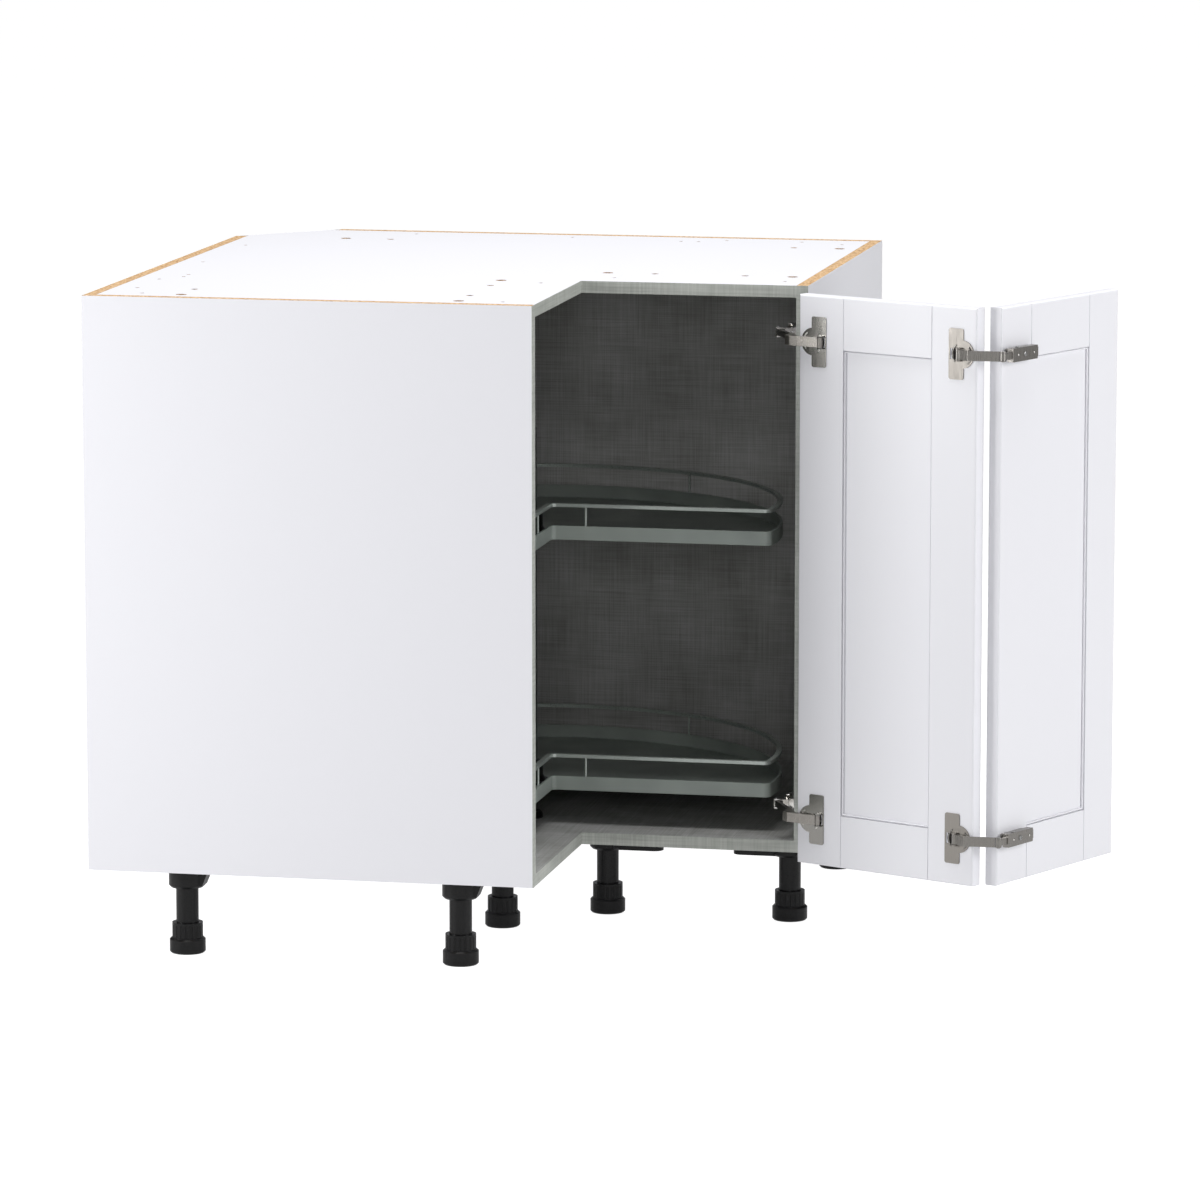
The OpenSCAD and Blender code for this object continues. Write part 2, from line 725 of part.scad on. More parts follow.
// Cup with its flange, on the inner face of a leaf; the flange lies on the side of `pin_x`
module cup(pin_x) {
    side = pin_x > 0 ? 1 : -1;
    pocket_from = -side * (cup_d / 2 - cup_wall);
    pocket_to = side * (flange_off + flange_w / 2 - cup_wall);
    pocket_h = 2 * lug_z + cheek_gap;
    rotate([90, 0, 0]) {
        difference() {
            union() {
                translate([0, 0, -cup_depth]) cylinder(d = cup_d, h = cup_depth);
                cylinder(d = cup_d + 2 * cup_lip, h = flange_t);
                translate([side * flange_off, 0, 0])
                    rounded_plate(flange_w, flange_len, flange_t, flange_corner_r);
            }
            translate([0, 0, cup_wall / 2 - cup_depth])
                cylinder(d = cup_d - 2 * cup_wall, h = cup_depth - cup_wall);
            translate([(pocket_from + pocket_to) / 2, 0, 0])
                cube([abs(pocket_to - pocket_from), pocket_h, cup_depth], center = true);
        }
        for (s = [-1, 1]) translate([pin_x, 0, 0]) cup_lug(s);
    }
}

// Ear of the cup that carries one end of the cup pin
module cup_lug(s) {
    translate([0, s > 0 ? lug_z : -lug_z - cheek_t, 0]) difference() {
        union() {
            translate([-eye_d / 2, 0, 0]) cube([eye_d, cheek_t, cup_pin_rise]);
            translate([0, 0, cup_pin_rise]) rotate([-90, 0, 0]) cylinder(d = eye_d, h = cheek_t);
        }
        translate([0, -cut, cup_pin_rise]) rotate([-90, 0, 0])
            cylinder(d = pin_d + 2 * pin_clear, h = cheek_t + 2 * cut, $fn = 32);
    }
}

// Flat link along a path, with an eye and a pin hole at each end
module link_shape(path, t, first_eye, last_eye) {
    last = path[len(path) - 1];
    difference() {
        union() {
            polygon(strip(path, t));
            translate(path[0]) circle(d = first_eye);
            translate(last) circle(d = last_eye);
        }
        pin_hole(path[0]);
        pin_hole(last);
    }
}

module pin_hole(p) {
    translate(p) circle(d = pin_d + 2 * pin_clear, $fn = 32);
}

// Link with a fork at one pin: cheeks above and below, a core set back between them
module forked_link(path, t, first_eye, last_eye, fork_pin, fork_r) {
    for (z = [-link_h / 2, link_h / 2 - cheek_t]) translate([0, 0, z])
        linear_extrude(cheek_t) link_shape(path, t, first_eye, last_eye);
    translate([0, 0, cheek_t - link_h / 2]) linear_extrude(link_h - 2 * cheek_t)
        difference() {
            link_shape(path, t, first_eye, last_eye);
            translate(fork_pin) circle(r = fork_r);
        }
}

module pin(p, h) {
    translate(concat(p, 0)) cylinder(d = pin_d, h = h, center = true, $fn = 32);
}

module hinge_mounting_plates() color("silver") place() at_hinges() {
    middle = arm_pin[1] + (arm_len - eye_d) / 2;
    block_len = arm_len - plate_w + plate_t;
    translate([side_in - plate_t, middle, 0]) rotate([0, 90, 0])
        rounded_plate(plate_len, plate_w, plate_t, plate_corner_r);
    translate([side_in - plate_t - plate_rise, middle - block_len / 2, cut - link_h / 2])
        cube([plate_rise, block_len, link_h - 2 * cut]);
}

module hinge_arms() color("silver") place() at_hinges() {
    body_x = side_in - plate_t - plate_rise - arm_t;
    translate([body_x, arm_pin[1] - eye_d / 2, -link_h / 2]) cube([arm_t, arm_len, link_h]);
    for (z = [-link_h / 2, link_h / 2 - cheek_t]) translate([0, 0, z])
        linear_extrude(cheek_t) difference() {
            union() {
                translate(arm_pin) circle(d = eye_d);
                translate(arm_pin - [0, eye_d / 2]) square([body_x - arm_pin[0] + cut, eye_d]);
            }
            pin_hole(arm_pin);
        }
}

module hinge_arm_pins() color("gray") place() at_hinges() pin(arm_pin, link_h + 2 * pin_proud);

module inner_hinge_links() color("silver") place() at_hinges()
    linear_extrude(core_h, center = true) link_shape([arm_pin, link_pin], inner_link_t, eye_d, eye_d);

module link_pins() color("gray") place() at_hinges() pin(link_pin, link_h + 2 * pin_proud);

module outer_hinge_links() color("silver") place() at_hinges() {
    crank = link_pin + turn(crank_at, heading(link_pin, cup_pin));
    fork_r = eye_d / 2 + web_t * 4;
    forked_link([link_pin, crank, cup_pin], bar_t, eye_d, eye_d - 1, link_pin, fork_r);
    for (z = [-link_h / 2, link_h / 2 - cheek_t]) translate([0, 0, z])
        linear_extrude(cheek_t) difference() {
            polygon(concat([link_pin], web_path, [cup_pin, crank]));
            pin_hole(link_pin);
            pin_hole(cup_pin);
        }
    linear_extrude(link_h, center = true) difference() {
        polygon(strip(web_path, web_t));
        pin_hole(cup_pin);
    }
}

module hinge_cups() color("silver") on_hung_leaf() at_hinges()
    translate([cup_edge, 0, 0]) cup(cup_pin_edge - cup_edge);

module cup_pins() color("gray") place() at_hinges() pin(cup_pin, lug_pin_h);

module fold_hinge_cups() color("silver") on_hung_leaf() at_hinges()
    translate([leaf_w - cup_edge, 0, 0]) cup(fold_cup_pin[0] - leaf_w + cup_edge);

module fold_cup_pins() color("gray") on_hung_leaf() at_hinges()
    pin(fold_cup_pin, lug_pin_h);

module fold_hinge_links() color("silver") on_hung_leaf() at_hinges()
    forked_link([fold_cup_pin, fold_bar_start, fold_arm_pin], bar_t, eye_d - 1, eye_d,
                fold_arm_pin, eye_d / 2 + 3 * cheek_gap);

module fold_arm_pins() color("gray") on_hung_leaf() at_hinges() pin(fold_arm_pin, link_h + 2 * pin_proud);

module fold_hinge_arms() color("silver") on_fold_leaf() at_hinges() {
    root = [fold_arm_in + cheek_t, -fold_pin_rise - cheek_t / 2];
    front = -fold_plate_t - fold_arm_t;
    linear_extrude(core_h, center = true) difference() {
        union() {
            polygon(strip([fold_knuckle, root], eye_d - bar_t));
            translate(fold_knuckle) circle(d = eye_d);
        }
        pin_hole(fold_knuckle);
    }
    translate([fold_arm_in, front, -fold_arm_h / 2])
        cube([fold_arm_len, fold_arm_t, fold_arm_h]);
    translate([fold_arm_in + fold_arm_len - cut, front + cheek_t, -fold_arm_h / 3])
        cube([eye_d / 2 + cut, fold_arm_t - 2 * cheek_t, fold_arm_h * 2 / 3]);
}

module fold_mounting_plates() color("silver") on_fold_leaf() at_hinges() {
    middle = fold_arm_in + fold_arm_len / 2;
    block_len = fold_arm_len - eye_d;
    translate([middle, 0, 0]) rotate([90, 0, 0])
        rounded_plate(block_len + plate_t, fold_arm_h - plate_t, plate_t, plate_corner_r);
    translate([middle - block_len / 2, -fold_plate_t, bar_t - fold_arm_h / 2])
        cube([block_len, fold_plate_t, fold_arm_h - 2 * bar_t]);
}

// ------------------------------------------------------------------- legs

module at_legs() {
    for (l = legs()) place() translate([l[0], l[1], 0]) rotate(l[2]) children();
}

// Side of the socket that slopes out to its upper edge
module socket_wing() {
    out = socket_d / 2 + wing_out;
    translate([socket_arm_w / 2, 0, 0]) rotate([90, 0, -90]) linear_extrude(socket_arm_w)
        polygon([
            [0, 0], [out, 0], [out, -socket_edge], [socket_d / 2 - cut, socket_edge - socket_h],
            [0, socket_edge - socket_h]
        ]);
}

module leg_sockets() color("#222222") at_legs() {
    difference() {
        union() {
            rotate_extrude() polygon([
                [0, 0], [socket_d / 2, 0], [socket_d / 2, socket_edge - socket_h],
                [socket_d / 2 - socket_edge, -socket_h], [0, -socket_h]
            ]);
            translate([0, -socket_arm_w / 2, -socket_h]) cube([peg_pitch, socket_arm_w, socket_h]);
            translate([peg_pitch, 0, -socket_h]) cylinder(d = socket_arm_w, h = socket_h);
            socket_wing();
        }
        translate([0, 0, -socket_h - cut])
            cylinder(d = leg_tube_d + tube_gap, h = socket_h - socket_roof + cut);
    }
    cylinder(d = spigot_hole_d - 2 * tube_gap, h = blind_depth - peg_gap);
    translate([peg_pitch, 0, 0]) cylinder(d = peg_hole_d - 2 * tube_gap, h = blind_depth - peg_gap);
}

module leg_tubes() color("#1e1e1e") at_legs() difference() {
    translate([0, 0, tube_end_z - leg_h])
        cylinder(d = leg_tube_d, h = leg_h - tube_end_z - socket_roof);
    translate([0, 0, -leg_h]) cylinder(d = leg_tube_d - 2 * tube_wall, h = leg_h - 2 * socket_roof);
}

module foot(i) {
    l = legs()[i - 1];
    place() translate([l[0], l[1], -leg_h]) difference() {
        union() {
            rotate_extrude() polygon([
                [0, 0], [foot_d / 2 - foot_edge, 0], [foot_d / 2, foot_edge],
                [foot_d / 2, foot_h - foot_edge], [foot_d / 2 - foot_edge, foot_h], [0, foot_h]
            ]);
            cylinder(d = collar_d, h = foot_h + collar_h);
        }
        translate([0, 0, tube_end_z]) cylinder(d = leg_tube_d + tube_clear, h = leg_h);
        for (a = [1:flute_count]) rotate(a * 360 / flute_count)
            translate([collar_d / 2 + flute_d / 5, 0, foot_h + flute_rise])
                cylinder(d = flute_d, h = collar_h - flute_d - flute_rise, $fn = 16);
    }
}

module foot_1() color("#262626") foot(1);
module foot_2() color("#262626") foot(2);
module foot_3() color("#262626") foot(3);
module foot_4() color("#262626") foot(4);
module foot_5() color("#262626") foot(5);
module foot_6() color("#262626") foot(6);
module foot_7() color("#262626") foot(7);

left_end_panel();
right_end_panel();
left_wall_panel();
rear_wall_panel();
corner_back_panel();
top_panel();
bottom_panel();
front_edge_bands();
board_dowels();
post_lower_tube();
post_upper_tube();
floor_bearing();
ceiling_bearing();
tray_collars();
lower_tray();
lower_tray_rail();
lower_tray_hub();
upper_tray();
upper_tray_rail();
upper_tray_hub();
hinge_mounting_plates();
hinge_arms();
hinge_arm_pins();
inner_hinge_links();
link_pins();
outer_hinge_links();
hinge_cups();
cup_pins();
hung_leaf_hinge_stile();
hung_leaf_fold_stile();
hung_leaf_top_rail();
hung_leaf_bottom_rail();
hung_leaf_panel();
fold_hinge_cups();
fold_cup_pins();
fold_hinge_links();
fold_arm_pins();
fold_hinge_arms();
fold_mounting_plates();
fold_leaf_inner_stile();
fold_leaf_free_stile();
fold_leaf_top_rail();
fold_leaf_bottom_rail();
fold_leaf_panel();
leg_sockets();
leg_tubes();
foot_1();
foot_2();
foot_3();
foot_4();
foot_5();
foot_6();
foot_7();
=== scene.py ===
"""Corner carousel cabinet: finishes, small fittings, floor, light and camera.

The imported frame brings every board, leaf, hinge, tray and leg at its real place. This script
gives each of them the finish of the real piece, adds the fittings that are too fine for the
frame (screw, pin and rivet heads, cup lips, clip levers and panel beads) and sets the studio
round the cabinet. Lengths are in metres; sizes in millimetres are turned by mm().
"""

import logging
import math
from dataclasses import dataclass
from enum import Enum
from typing import Any, Callable, Sequence

import bpy
from mathutils import Matrix, Vector


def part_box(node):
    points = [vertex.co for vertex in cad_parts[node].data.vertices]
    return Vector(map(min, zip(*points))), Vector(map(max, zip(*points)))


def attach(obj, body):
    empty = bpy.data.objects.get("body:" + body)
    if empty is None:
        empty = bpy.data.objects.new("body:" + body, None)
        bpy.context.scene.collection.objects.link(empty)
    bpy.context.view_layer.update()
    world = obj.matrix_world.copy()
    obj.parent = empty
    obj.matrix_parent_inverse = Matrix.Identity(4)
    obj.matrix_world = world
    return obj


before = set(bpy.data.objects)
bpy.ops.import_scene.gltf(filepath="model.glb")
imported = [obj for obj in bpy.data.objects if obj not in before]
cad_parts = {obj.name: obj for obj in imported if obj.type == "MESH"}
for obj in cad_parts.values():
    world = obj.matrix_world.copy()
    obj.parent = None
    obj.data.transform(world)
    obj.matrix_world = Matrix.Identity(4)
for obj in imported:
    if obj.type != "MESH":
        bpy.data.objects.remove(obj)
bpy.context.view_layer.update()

logging.basicConfig(level=logging.INFO, format="%(name)s: %(message)s")
LOG = logging.getLogger("corner_cabinet")

Colour = tuple[float, float, float, float]
Point = tuple[float, float, float]
Node = bpy.types.Node
Socket = bpy.types.NodeSocket
Shape = bpy.types.Object


class Axis(Enum):
    """An axis of the cabinet's frame, by its place in a vector."""

    X = 0
    Y = 1
    Z = 2


def mm(value: float) -> float:
    """Turns millimetres into metres."""
    return value / 1000.0


def srgb(code: str) -> Colour:
    """Turns an sRGB hex colour into the linear one that shaders use.

    Args:
        code: Six hex digits after a hash sign.

    Returns:
        Linear red, green and blue, and an alpha of 1.
    """
    digits = code.lstrip("#")
    parts = [int(digits[i : i + 2], 16) / 255.0 for i in (0, 2, 4)]
    linear = [p / 12.92 if p <= 0.04045 else ((p + 0.055) / 1.055) ** 2.4 for p in parts]
    return (linear[0], linear[1], linear[2], 1.0)


# ------------------------------------------------------------------ finishes

# most of the noise lies between these two of its values
NOISE_LOW, NOISE_HIGH = 0.3, 0.7


def add_node(
    tree: bpy.types.NodeTree,
    kind: str,
    inputs: dict[str | int, Any] | None = None,
    **settings: Any,
) -> Node:
    """Adds a shader node with its settings and inputs.

    Args:
        tree: The node tree of a material or of the world.
        kind: The node's type name.
        inputs: Input name or number to its value, or to the socket that feeds it.
        **settings: Attributes of the node itself.

    Returns:
        The new node.
    """
    node = tree.nodes.new(kind)
    for name, value in settings.items():
        setattr(node, name, value)
    for name, value in (inputs or {}).items():
        if isinstance(value, Socket):
            tree.links.new(value, node.inputs[name])
        else:
            node.inputs[name].default_value = value
    return node


@dataclass(frozen=True)
class NodeWork:
    """The nodes of one material in the making, with the steps that the finishes share.

    Attributes:
        tree: The material's node tree.
        shader: Its surface shader.
        place: Object coordinates, in metres.
    """

    tree: bpy.types.NodeTree
    shader: Node
    place: Socket

    def feed(self, name: str, source: Socket) -> None:
        """Links a socket to an input of the shader."""
        self.tree.links.new(source, self.shader.inputs[name])

    def scaled(self, sizes_mm: Sequence[float]) -> Socket:
        """Coordinates in which the given size counts 1 along each axis.

        Args:
            sizes_mm: The size along each axis.

        Returns:
            The scaled coordinates.
        """
        scale = tuple(1000.0 / size for size in sizes_mm)
        node = add_node(self.tree, "ShaderNodeMapping", {"Scale": scale, "Vector": self.place})
        return node.outputs[0]

    def noise(self, size_mm: float | Sequence[float], detail: float = 2.0) -> Socket:
        """Noise whose grains have a real size.

        Args:
            size_mm: Grain size, or one for each axis.
            detail: Octaves of finer grain.

        Returns:
            The noise value, from 0 to 1.
        """
        sizes = (size_mm,) * 3 if isinstance(size_mm, (int, float)) else size_mm
        inputs = {
            "Vector": self.scaled(sizes),
            "Scale": 1.0,
            "Detail": detail,
            "Roughness": 0.55,
        }
        return add_node(self.tree, "ShaderNodeTexNoise", inputs).outputs[0]

    def spread(
        self, value: Socket, low: float, high: float, to_low: float = 0.0, to_high: float = 1.0
    ) -> Socket:
        """Maps a value from one range to another, held at the ends.

        Args:
            value: The value.
            low: Start of its range.
            high: End of its range.
            to_low: What the start becomes.
            to_high: What the end becomes.

        Returns:
            The mapped value.
        """
        inputs = {0: value, 1: low, 2: high, 3: to_low, 4: to_high}
        return add_node(self.tree, "ShaderNodeMapRange", inputs).outputs[0]

    def mix(self, share: Socket, first: Socket | Colour, second: Socket | Colour) -> Socket:
        """Mixes two colours.

        Args:
            share: How much of the second colour, from 0 to 1.
            first: A socket or a fixed colour.
            second: A socket or a fixed colour.

        Returns:
            The mixed colour.
        """
        inputs = {0: share, 6: first, 7: second}
        return add_node(self.tree, "ShaderNodeMix", inputs, data_type="RGBA").outputs[2]

    def calc(self, what: str, first: Socket | float, second: Socket | float = 0.0) -> Socket:
        """Does one step of arithmetic.

        Args:
            what: The operation's name.
            first: A socket or a number.
            second: A socket or a number.

        Returns:
            The result.
        """
        return add_node(
            self.tree, "ShaderNodeMath", {0: first, 1: second}, operation=what
        ).outputs[0]

    def relief(self, height: Socket, depth_mm: float, strength: float) -> None:
        """Gives the surface fine relief of a real depth.

        Args:
            height: The relief, from 0 to 1.
            depth_mm: Its depth.
            strength: How much of it shows.
        """
        inputs = {"Height": height, "Distance": mm(depth_mm), "Strength": strength}
        self.feed("Normal", add_node(self.tree, "ShaderNodeBump", inputs).outputs[0])

    def stipple(
        self,
        size_mm: float | Sequence[float],
        rough: tuple[float, float],
        depth_mm: float,
        strength: float,
    ) -> None:
        """Covers the surface with grains that show in its gloss and as relief.

        Args:
            size_mm: Grain size, or one for each axis.
            rough: Roughness in the hollows and on the tops.
            depth_mm: Depth of the relief.
            strength: How much of the relief shows.
        """
        grain = self.noise(size_mm)
        self.feed("Roughness", self.spread(grain, NOISE_LOW, NOISE_HIGH, *rough))
        self.relief(grain, depth_mm, strength)


@dataclass(frozen=True)
class Finish:
    """A finish of the cabinet, built once as a node material."""

    title: str
    colour: str = "#808080"
    roughness: float = 0.5
    ior: float = 1.5
    metallic: float = 0.0

    def material(self) -> bpy.types.Material:
        """Builds the material, or finds the one built before.

        Returns:
            The material.
        """
        known = bpy.data.materials.get(self.title)
        if known is not None:
            return known
        made = bpy.data.materials.new(self.title)
        made.use_nodes = True
        tree = made.node_tree
        tree.nodes.clear()
        inputs = {
            "Base Color": srgb(self.colour),
            "Roughness": self.roughness,
            "IOR": self.ior,
            "Metallic": self.metallic,
        }
        shader = add_node(tree, "ShaderNodeBsdfPrincipled", inputs)
        add_node(tree, "ShaderNodeOutputMaterial", {"Surface": shader.outputs[0]})
        place = add_node(tree, "ShaderNodeTexCoord").outputs["Object"]
        self.dress(NodeWork(tree, shader, place))
        return made

    def dress(self, work: NodeWork) -> None:
        """Adds the pattern, colour changes and relief of the finish; the plain one has none."""


@dataclass(frozen=True)
class LinenPattern(Finish):
    """Foil printed and embossed like coarse linen: threads both ways that thicken and thin."""

    title: str = "dark_linen_foil"
    dark: str = "#8d8d89"
    light: str = "#bababa"
    thread_mm: float = 1.5  # real threads are about 0.8 mm; drawn coarser so that they show
    thread_len_mm: float = 90.0
    contrast: tuple[float, float] = (1.15, 1.85)  # of three noises added up

    def weave(self, work: NodeWork) -> Socket:
        """Adds threads along each axis; on a flat board two of them lie in its face.

        Args:
            work: The material's nodes.

        Returns:
            Height of the weave, from 0 to 1.
        """
        total: Socket | float = 0.0
        for axis in Axis:
            size = [self.thread_len_mm] * 3
            size[axis.value] = self.thread_mm
            total = work.calc("ADD", work.noise(size, 3.0), total)
        return work.spread(total, *self.contrast)

    def cloth(self, work: NodeWork) -> tuple[Socket, Socket]:
        """Prints the weave.

        Args:
            work: The material's nodes.

        Returns:
            Colour and height of the weave.
        """
        threads = self.weave(work)
        return work.mix(threads, srgb(self.dark), srgb(self.light)), threads

    def dress(self, work: NodeWork) -> None:
        """Lays the linen over the whole piece.

        Args:
            work: The material's nodes.
        """
        colour, threads = self.cloth(work)
        work.feed("Base Color", colour)
        work.relief(threads, depth_mm=0.08, strength=0.5)


@dataclass(frozen=True)
class Chipboard:
    """Raw particle board: wood flakes of 1 to 4 mm in glue, tan with pale and dark chips."""

    dark: str = "#6a4a2a"
    tan: str = "#a98257"
    light: str = "#cfb088"
    tan_at: float = 0.45
    flake_mm: float = 4.0
    tone_mm: float = 5.0
    flake_share: float = 0.6
    contrast: tuple[float, float] = (0.45, 1.15)

    def flakes(self, work: NodeWork) -> Socket:
        """Draws the cut flakes.

        Args:
            work: The material's nodes.

        Returns:
            Their colour.
        """
        inputs = {"Vector": work.scaled((self.flake_mm,) * 3), "Scale": 1.0, "Randomness": 1.0}
        cells = add_node(work.tree, "ShaderNodeTexVoronoi", inputs, distance="MANHATTAN")
        chips = work.calc("MULTIPLY", cells.outputs[0], self.flake_share)
        grain = work.calc("ADD", chips, work.noise(self.tone_mm, 3.0))
        tone = work.spread(grain, *self.contrast)
        ramp = add_node(work.tree, "ShaderNodeValToRGB", {0: tone})
        stops = ramp.color_ramp.elements
        stops[0].color, stops[1].color = srgb(self.dark), srgb(self.light)
        stops.new(self.tan_at).color = srgb(self.tan)
        return ramp.outputs[0]


@dataclass(frozen=True)
class BoardSkin(Finish):
    """A coated chipboard panel: melamine foil on both faces, raw flakes where it is cut.

    The foil is pressed paper under resin, an even white outside and printed as linen inside. The
    two faces are known by their places along one axis of the cabinet.
    """

    axis: Axis = Axis.Z
    outside: float = 0.0
    inside: float = 0.0
    foil: str = "#e3e3e8"
    lining: LinenPattern = LinenPattern()
    skin: float = mm(0.25)
    cut_rough: float = 0.72
    foil_smoother: float = 0.3

    def face(self, work: NodeWork, along: Socket, at: float) -> Socket:
        """Finds one face of the board.

        Args:
            work: The material's nodes.
            along: Place along the board's axis.
            at: Where the face lies.

        Returns:
            1 on the face, 0 elsewhere.
        """
        off = work.calc("ABSOLUTE", work.calc("SUBTRACT", along, at))
        return work.calc("LESS_THAN", off, self.skin)

    def dress(self, work: NodeWork) -> None:
        """Chooses foil, linen or flakes for each point of the board.

        Args:
            work: The material's nodes.
        """
        split = add_node(work.tree, "ShaderNodeSeparateXYZ", {0: work.place})
        along = split.outputs[self.axis.value]
        cloth, threads = self.lining.cloth(work)
        white = self.face(work, along, self.outside)
        lined = self.face(work, along, self.inside)
        colour = work.mix(white, Chipboard().flakes(work), srgb(self.foil))
        work.feed("Base Color", work.mix(lined, colour, cloth))
        smoother = work.calc("MULTIPLY", white, self.foil_smoother)
        work.feed("Roughness", work.calc("SUBTRACT", self.cut_rough, smoother))
        work.relief(work.calc("MULTIPLY", threads, lined), depth_mm=0.08, strength=0.5)


@dataclass(frozen=True)
class PowderCoat(Finish):
    """Powder-coated sheet steel: baked grey paint with a fine sand texture of about 0.9 mm."""

    title: str = "grey_powder_coat"
    colour: str = "#979f99"
    roughness: float = 0.36
    low_tone: str = "#8b938e"
    high_tone: str = "#a3aba5"
    sand_mm: float = 0.9
    tone_mm: float = 120.0

    def dress(self, work: NodeWork) -> None:
        """Adds the sand texture and a slow change of tone.

        Args:
            work: The material's nodes.
        """
        rough = (self.roughness * 0.85, self.roughness * 1.15)
        work.stipple(self.sand_mm, rough, depth_mm=0.04, strength=0.5)
        tone = work.spread(work.noise(self.tone_mm), 0.35, 0.65)
        work.feed("Base Color", work.mix(tone, srgb(self.low_tone), srgb(self.high_tone)))


@dataclass(frozen=True)
class PlatedSteel(Finish):
    """Nickel- or chrome-plated stamped steel: bright, with faint drawing marks from the press."""

    metallic: float = 1.0
    marks_mm: Point = (0.4, 0.4, 14.0)

    def dress(self, work: NodeWork) -> None:
        """Adds the drawing marks, long along the height."""
        rough = (self.roughness * 0.75, self.roughness * 1.35)
        work.stipple(self.marks_mm, rough, depth_mm=0.01, strength=0.25)


@dataclass(frozen=True)
class SatinLacquer(Finish):
    """Foil-wrapped MDF door with satin white paint: nearly even, with a very fine stipple."""

    title: str = "satin_white_door"
    colour: str = "#e5e5ea"
    stipple_mm: float = 1.2
    rough: tuple[float, float] = (0.33, 0.4)

    def dress(self, work: NodeWork) -> None:
        """Adds the stipple that the roller leaves."""
        work.stipple(self.stipple_mm, self.rough, depth_mm=0.015, strength=0.3)


@dataclass(frozen=True)
class MouldedPlastic(Finish):
    """Injection-moulded polypropylene: black, slightly glossy, with a spark-eroded grain."""

    title: str = "black_moulded_plastic"
    colour: str = "#0f0f10"
    ior: float = 1.36
    grain_mm: float = 0.7
    rough: tuple[float, float] = (0.24, 0.38)

    def dress(self, work: NodeWork) -> None:
        """Adds the grain of the mould."""
        work.stipple(self.grain_mm, self.rough, depth_mm=0.03, strength=0.4)


@dataclass(frozen=True)
class Beech(Finish):
    """Turned beech dowel: pale, with fine long pores."""

    title: str = "beech_dowel"
    roughness: float = 0.6
    dark: str = "#b98f5e"
    light: str = "#e6cda5"
    pore_mm: Point = (1.0, 1.0, 6.0)

    def dress(self, work: NodeWork) -> None:
        """Adds the pores.

        Args:
            work: The material's nodes.
        """
        pores = work.noise(self.pore_mm, 3.0)
        work.feed("Base Color", work.mix(pores, srgb(self.dark), srgb(self.light)))
        work.relief(pores, depth_mm=0.05, strength=0.4)


@dataclass(frozen=True)
class Hardboard(Finish):
    """Thin painted fibre board: white, with the soft dimples of pressed fibre."""

    title: str = "white_hardboard"
    roughness: float = 0.6
    dark: str = "#dcdcdf"
    light: str = "#ececee"
    dimple_mm: float = 4.0

    def dress(self, work: NodeWork) -> None:
        """Adds the dimples.

        Args:
            work: The material's nodes.
        """
        dimples = work.noise(self.dimple_mm)
        work.feed("Base Color", work.mix(dimples, srgb(self.dark), srgb(self.light)))
        work.relief(dimples, depth_mm=0.05, strength=0.4)


@dataclass(frozen=True)
class LightTable(Finish):
    """Opal acrylic sheet lit from below, as under cut-out product pictures: an even white."""

    title: str = "opal_light_table"
    roughness: float = 0.8
    dark: str = "#9c9c9c"
    light: str = "#a4a4a4"
    cloud_mm: float = 60.0
    glow: float = 0.96
    spill: float = 0.35  # what the sheet throws on the cabinet; the eye sees it brighter

    def dress(self, work: NodeWork) -> None:
        """Adds the light from below and the faint cloud of the opal sheet.

        Args:
            work: The material's nodes.
        """
        cloud = work.noise(self.cloud_mm)
        work.feed("Base Color", work.mix(cloud, srgb(self.dark), srgb(self.light)))
        work.shader.inputs["Emission Color"].default_value = (1.0, 1.0, 1.0, 1.0)
        eye = add_node(work.tree, "ShaderNodeLightPath").outputs[0]
        work.feed("Emission Strength", work.spread(eye, 0.0, 1.0, self.spill, self.glow))


EDGE_LINEN = LinenPattern("grey_linen_edge", dark="#979a94", light="#b9bcb6", thread_mm=2.4)
CHROME = PlatedSteel("bright_chrome", "#dcdad6", 0.12)
NICKEL = PlatedSteel("satin_nickel", "#8f8c88", 0.3)
LINK_STEEL = PlatedSteel("brushed_link_steel", "#9a9691", 0.3)
FLANGE_STEEL = PlatedSteel("bright_flange", "#8f8d89", 0.14)
FOLD_FLANGE_STEEL = PlatedSteel("satin_flange", "#8d8984", 0.42)
LIP_STEEL = PlatedSteel("rolled_bright_lip", "#e8e6e2", 0.3)
TURNED = PlatedSteel("turned_steel_pin", "#a9a9a9", 0.28)
TUBE = PlatedSteel("chromed_post_tube", "#c9c9ca", 0.14)
TRAY_COAT = PowderCoat()
RAIL_COAT = PowderCoat(
    "grey_rail_coat",
    "#a9b1ab",
    roughness=0.3,
    metallic=0.55,
    low_tone="#adb5b0",
    high_tone="#c2cac4",
)
DOOR = SatinLacquer()
PLASTIC = MouldedPlastic()


def dress_node(name: str, finish: Finish) -> None:
    """Gives a node of the frame its finish.

    Args:
        name: The node's name.
        finish: What it is made of.
    """
    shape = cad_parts[name]
    made = finish.material()
    if not shape.material_slots:
        shape.data.materials.append(made)
    for place in shape.material_slots:
        place.material = made
    LOG.info("%s: %s", name, finish.title)


# --------------------------------------------------------- modelling by hand


def soften(name: str, radius: float, segments: int = 2) -> None:
    """Rounds the sharp edges of a node of the frame with live modifiers.

    The node's mesh is loose triangles, so they are welded before their edges can be bevelled.

    Args:
        name: The node's name.
        radius: Radius of the rounded edges, in metres.
        segments: Facets across the rounding.
    """
    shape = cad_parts[name]
    weld = shape.modifiers.new("weld", "WELD")
    weld.merge_threshold = mm(0.01)
    bevel = shape.modifiers.new("soft_edges", "BEVEL")
    bevel.width, bevel.segments = radius, segments
    bevel.limit_method, bevel.angle_limit = "ANGLE", math.radians(40.0)
    shape.modifiers.new("even_shading", "WEIGHTED_NORMAL").keep_sharp = True


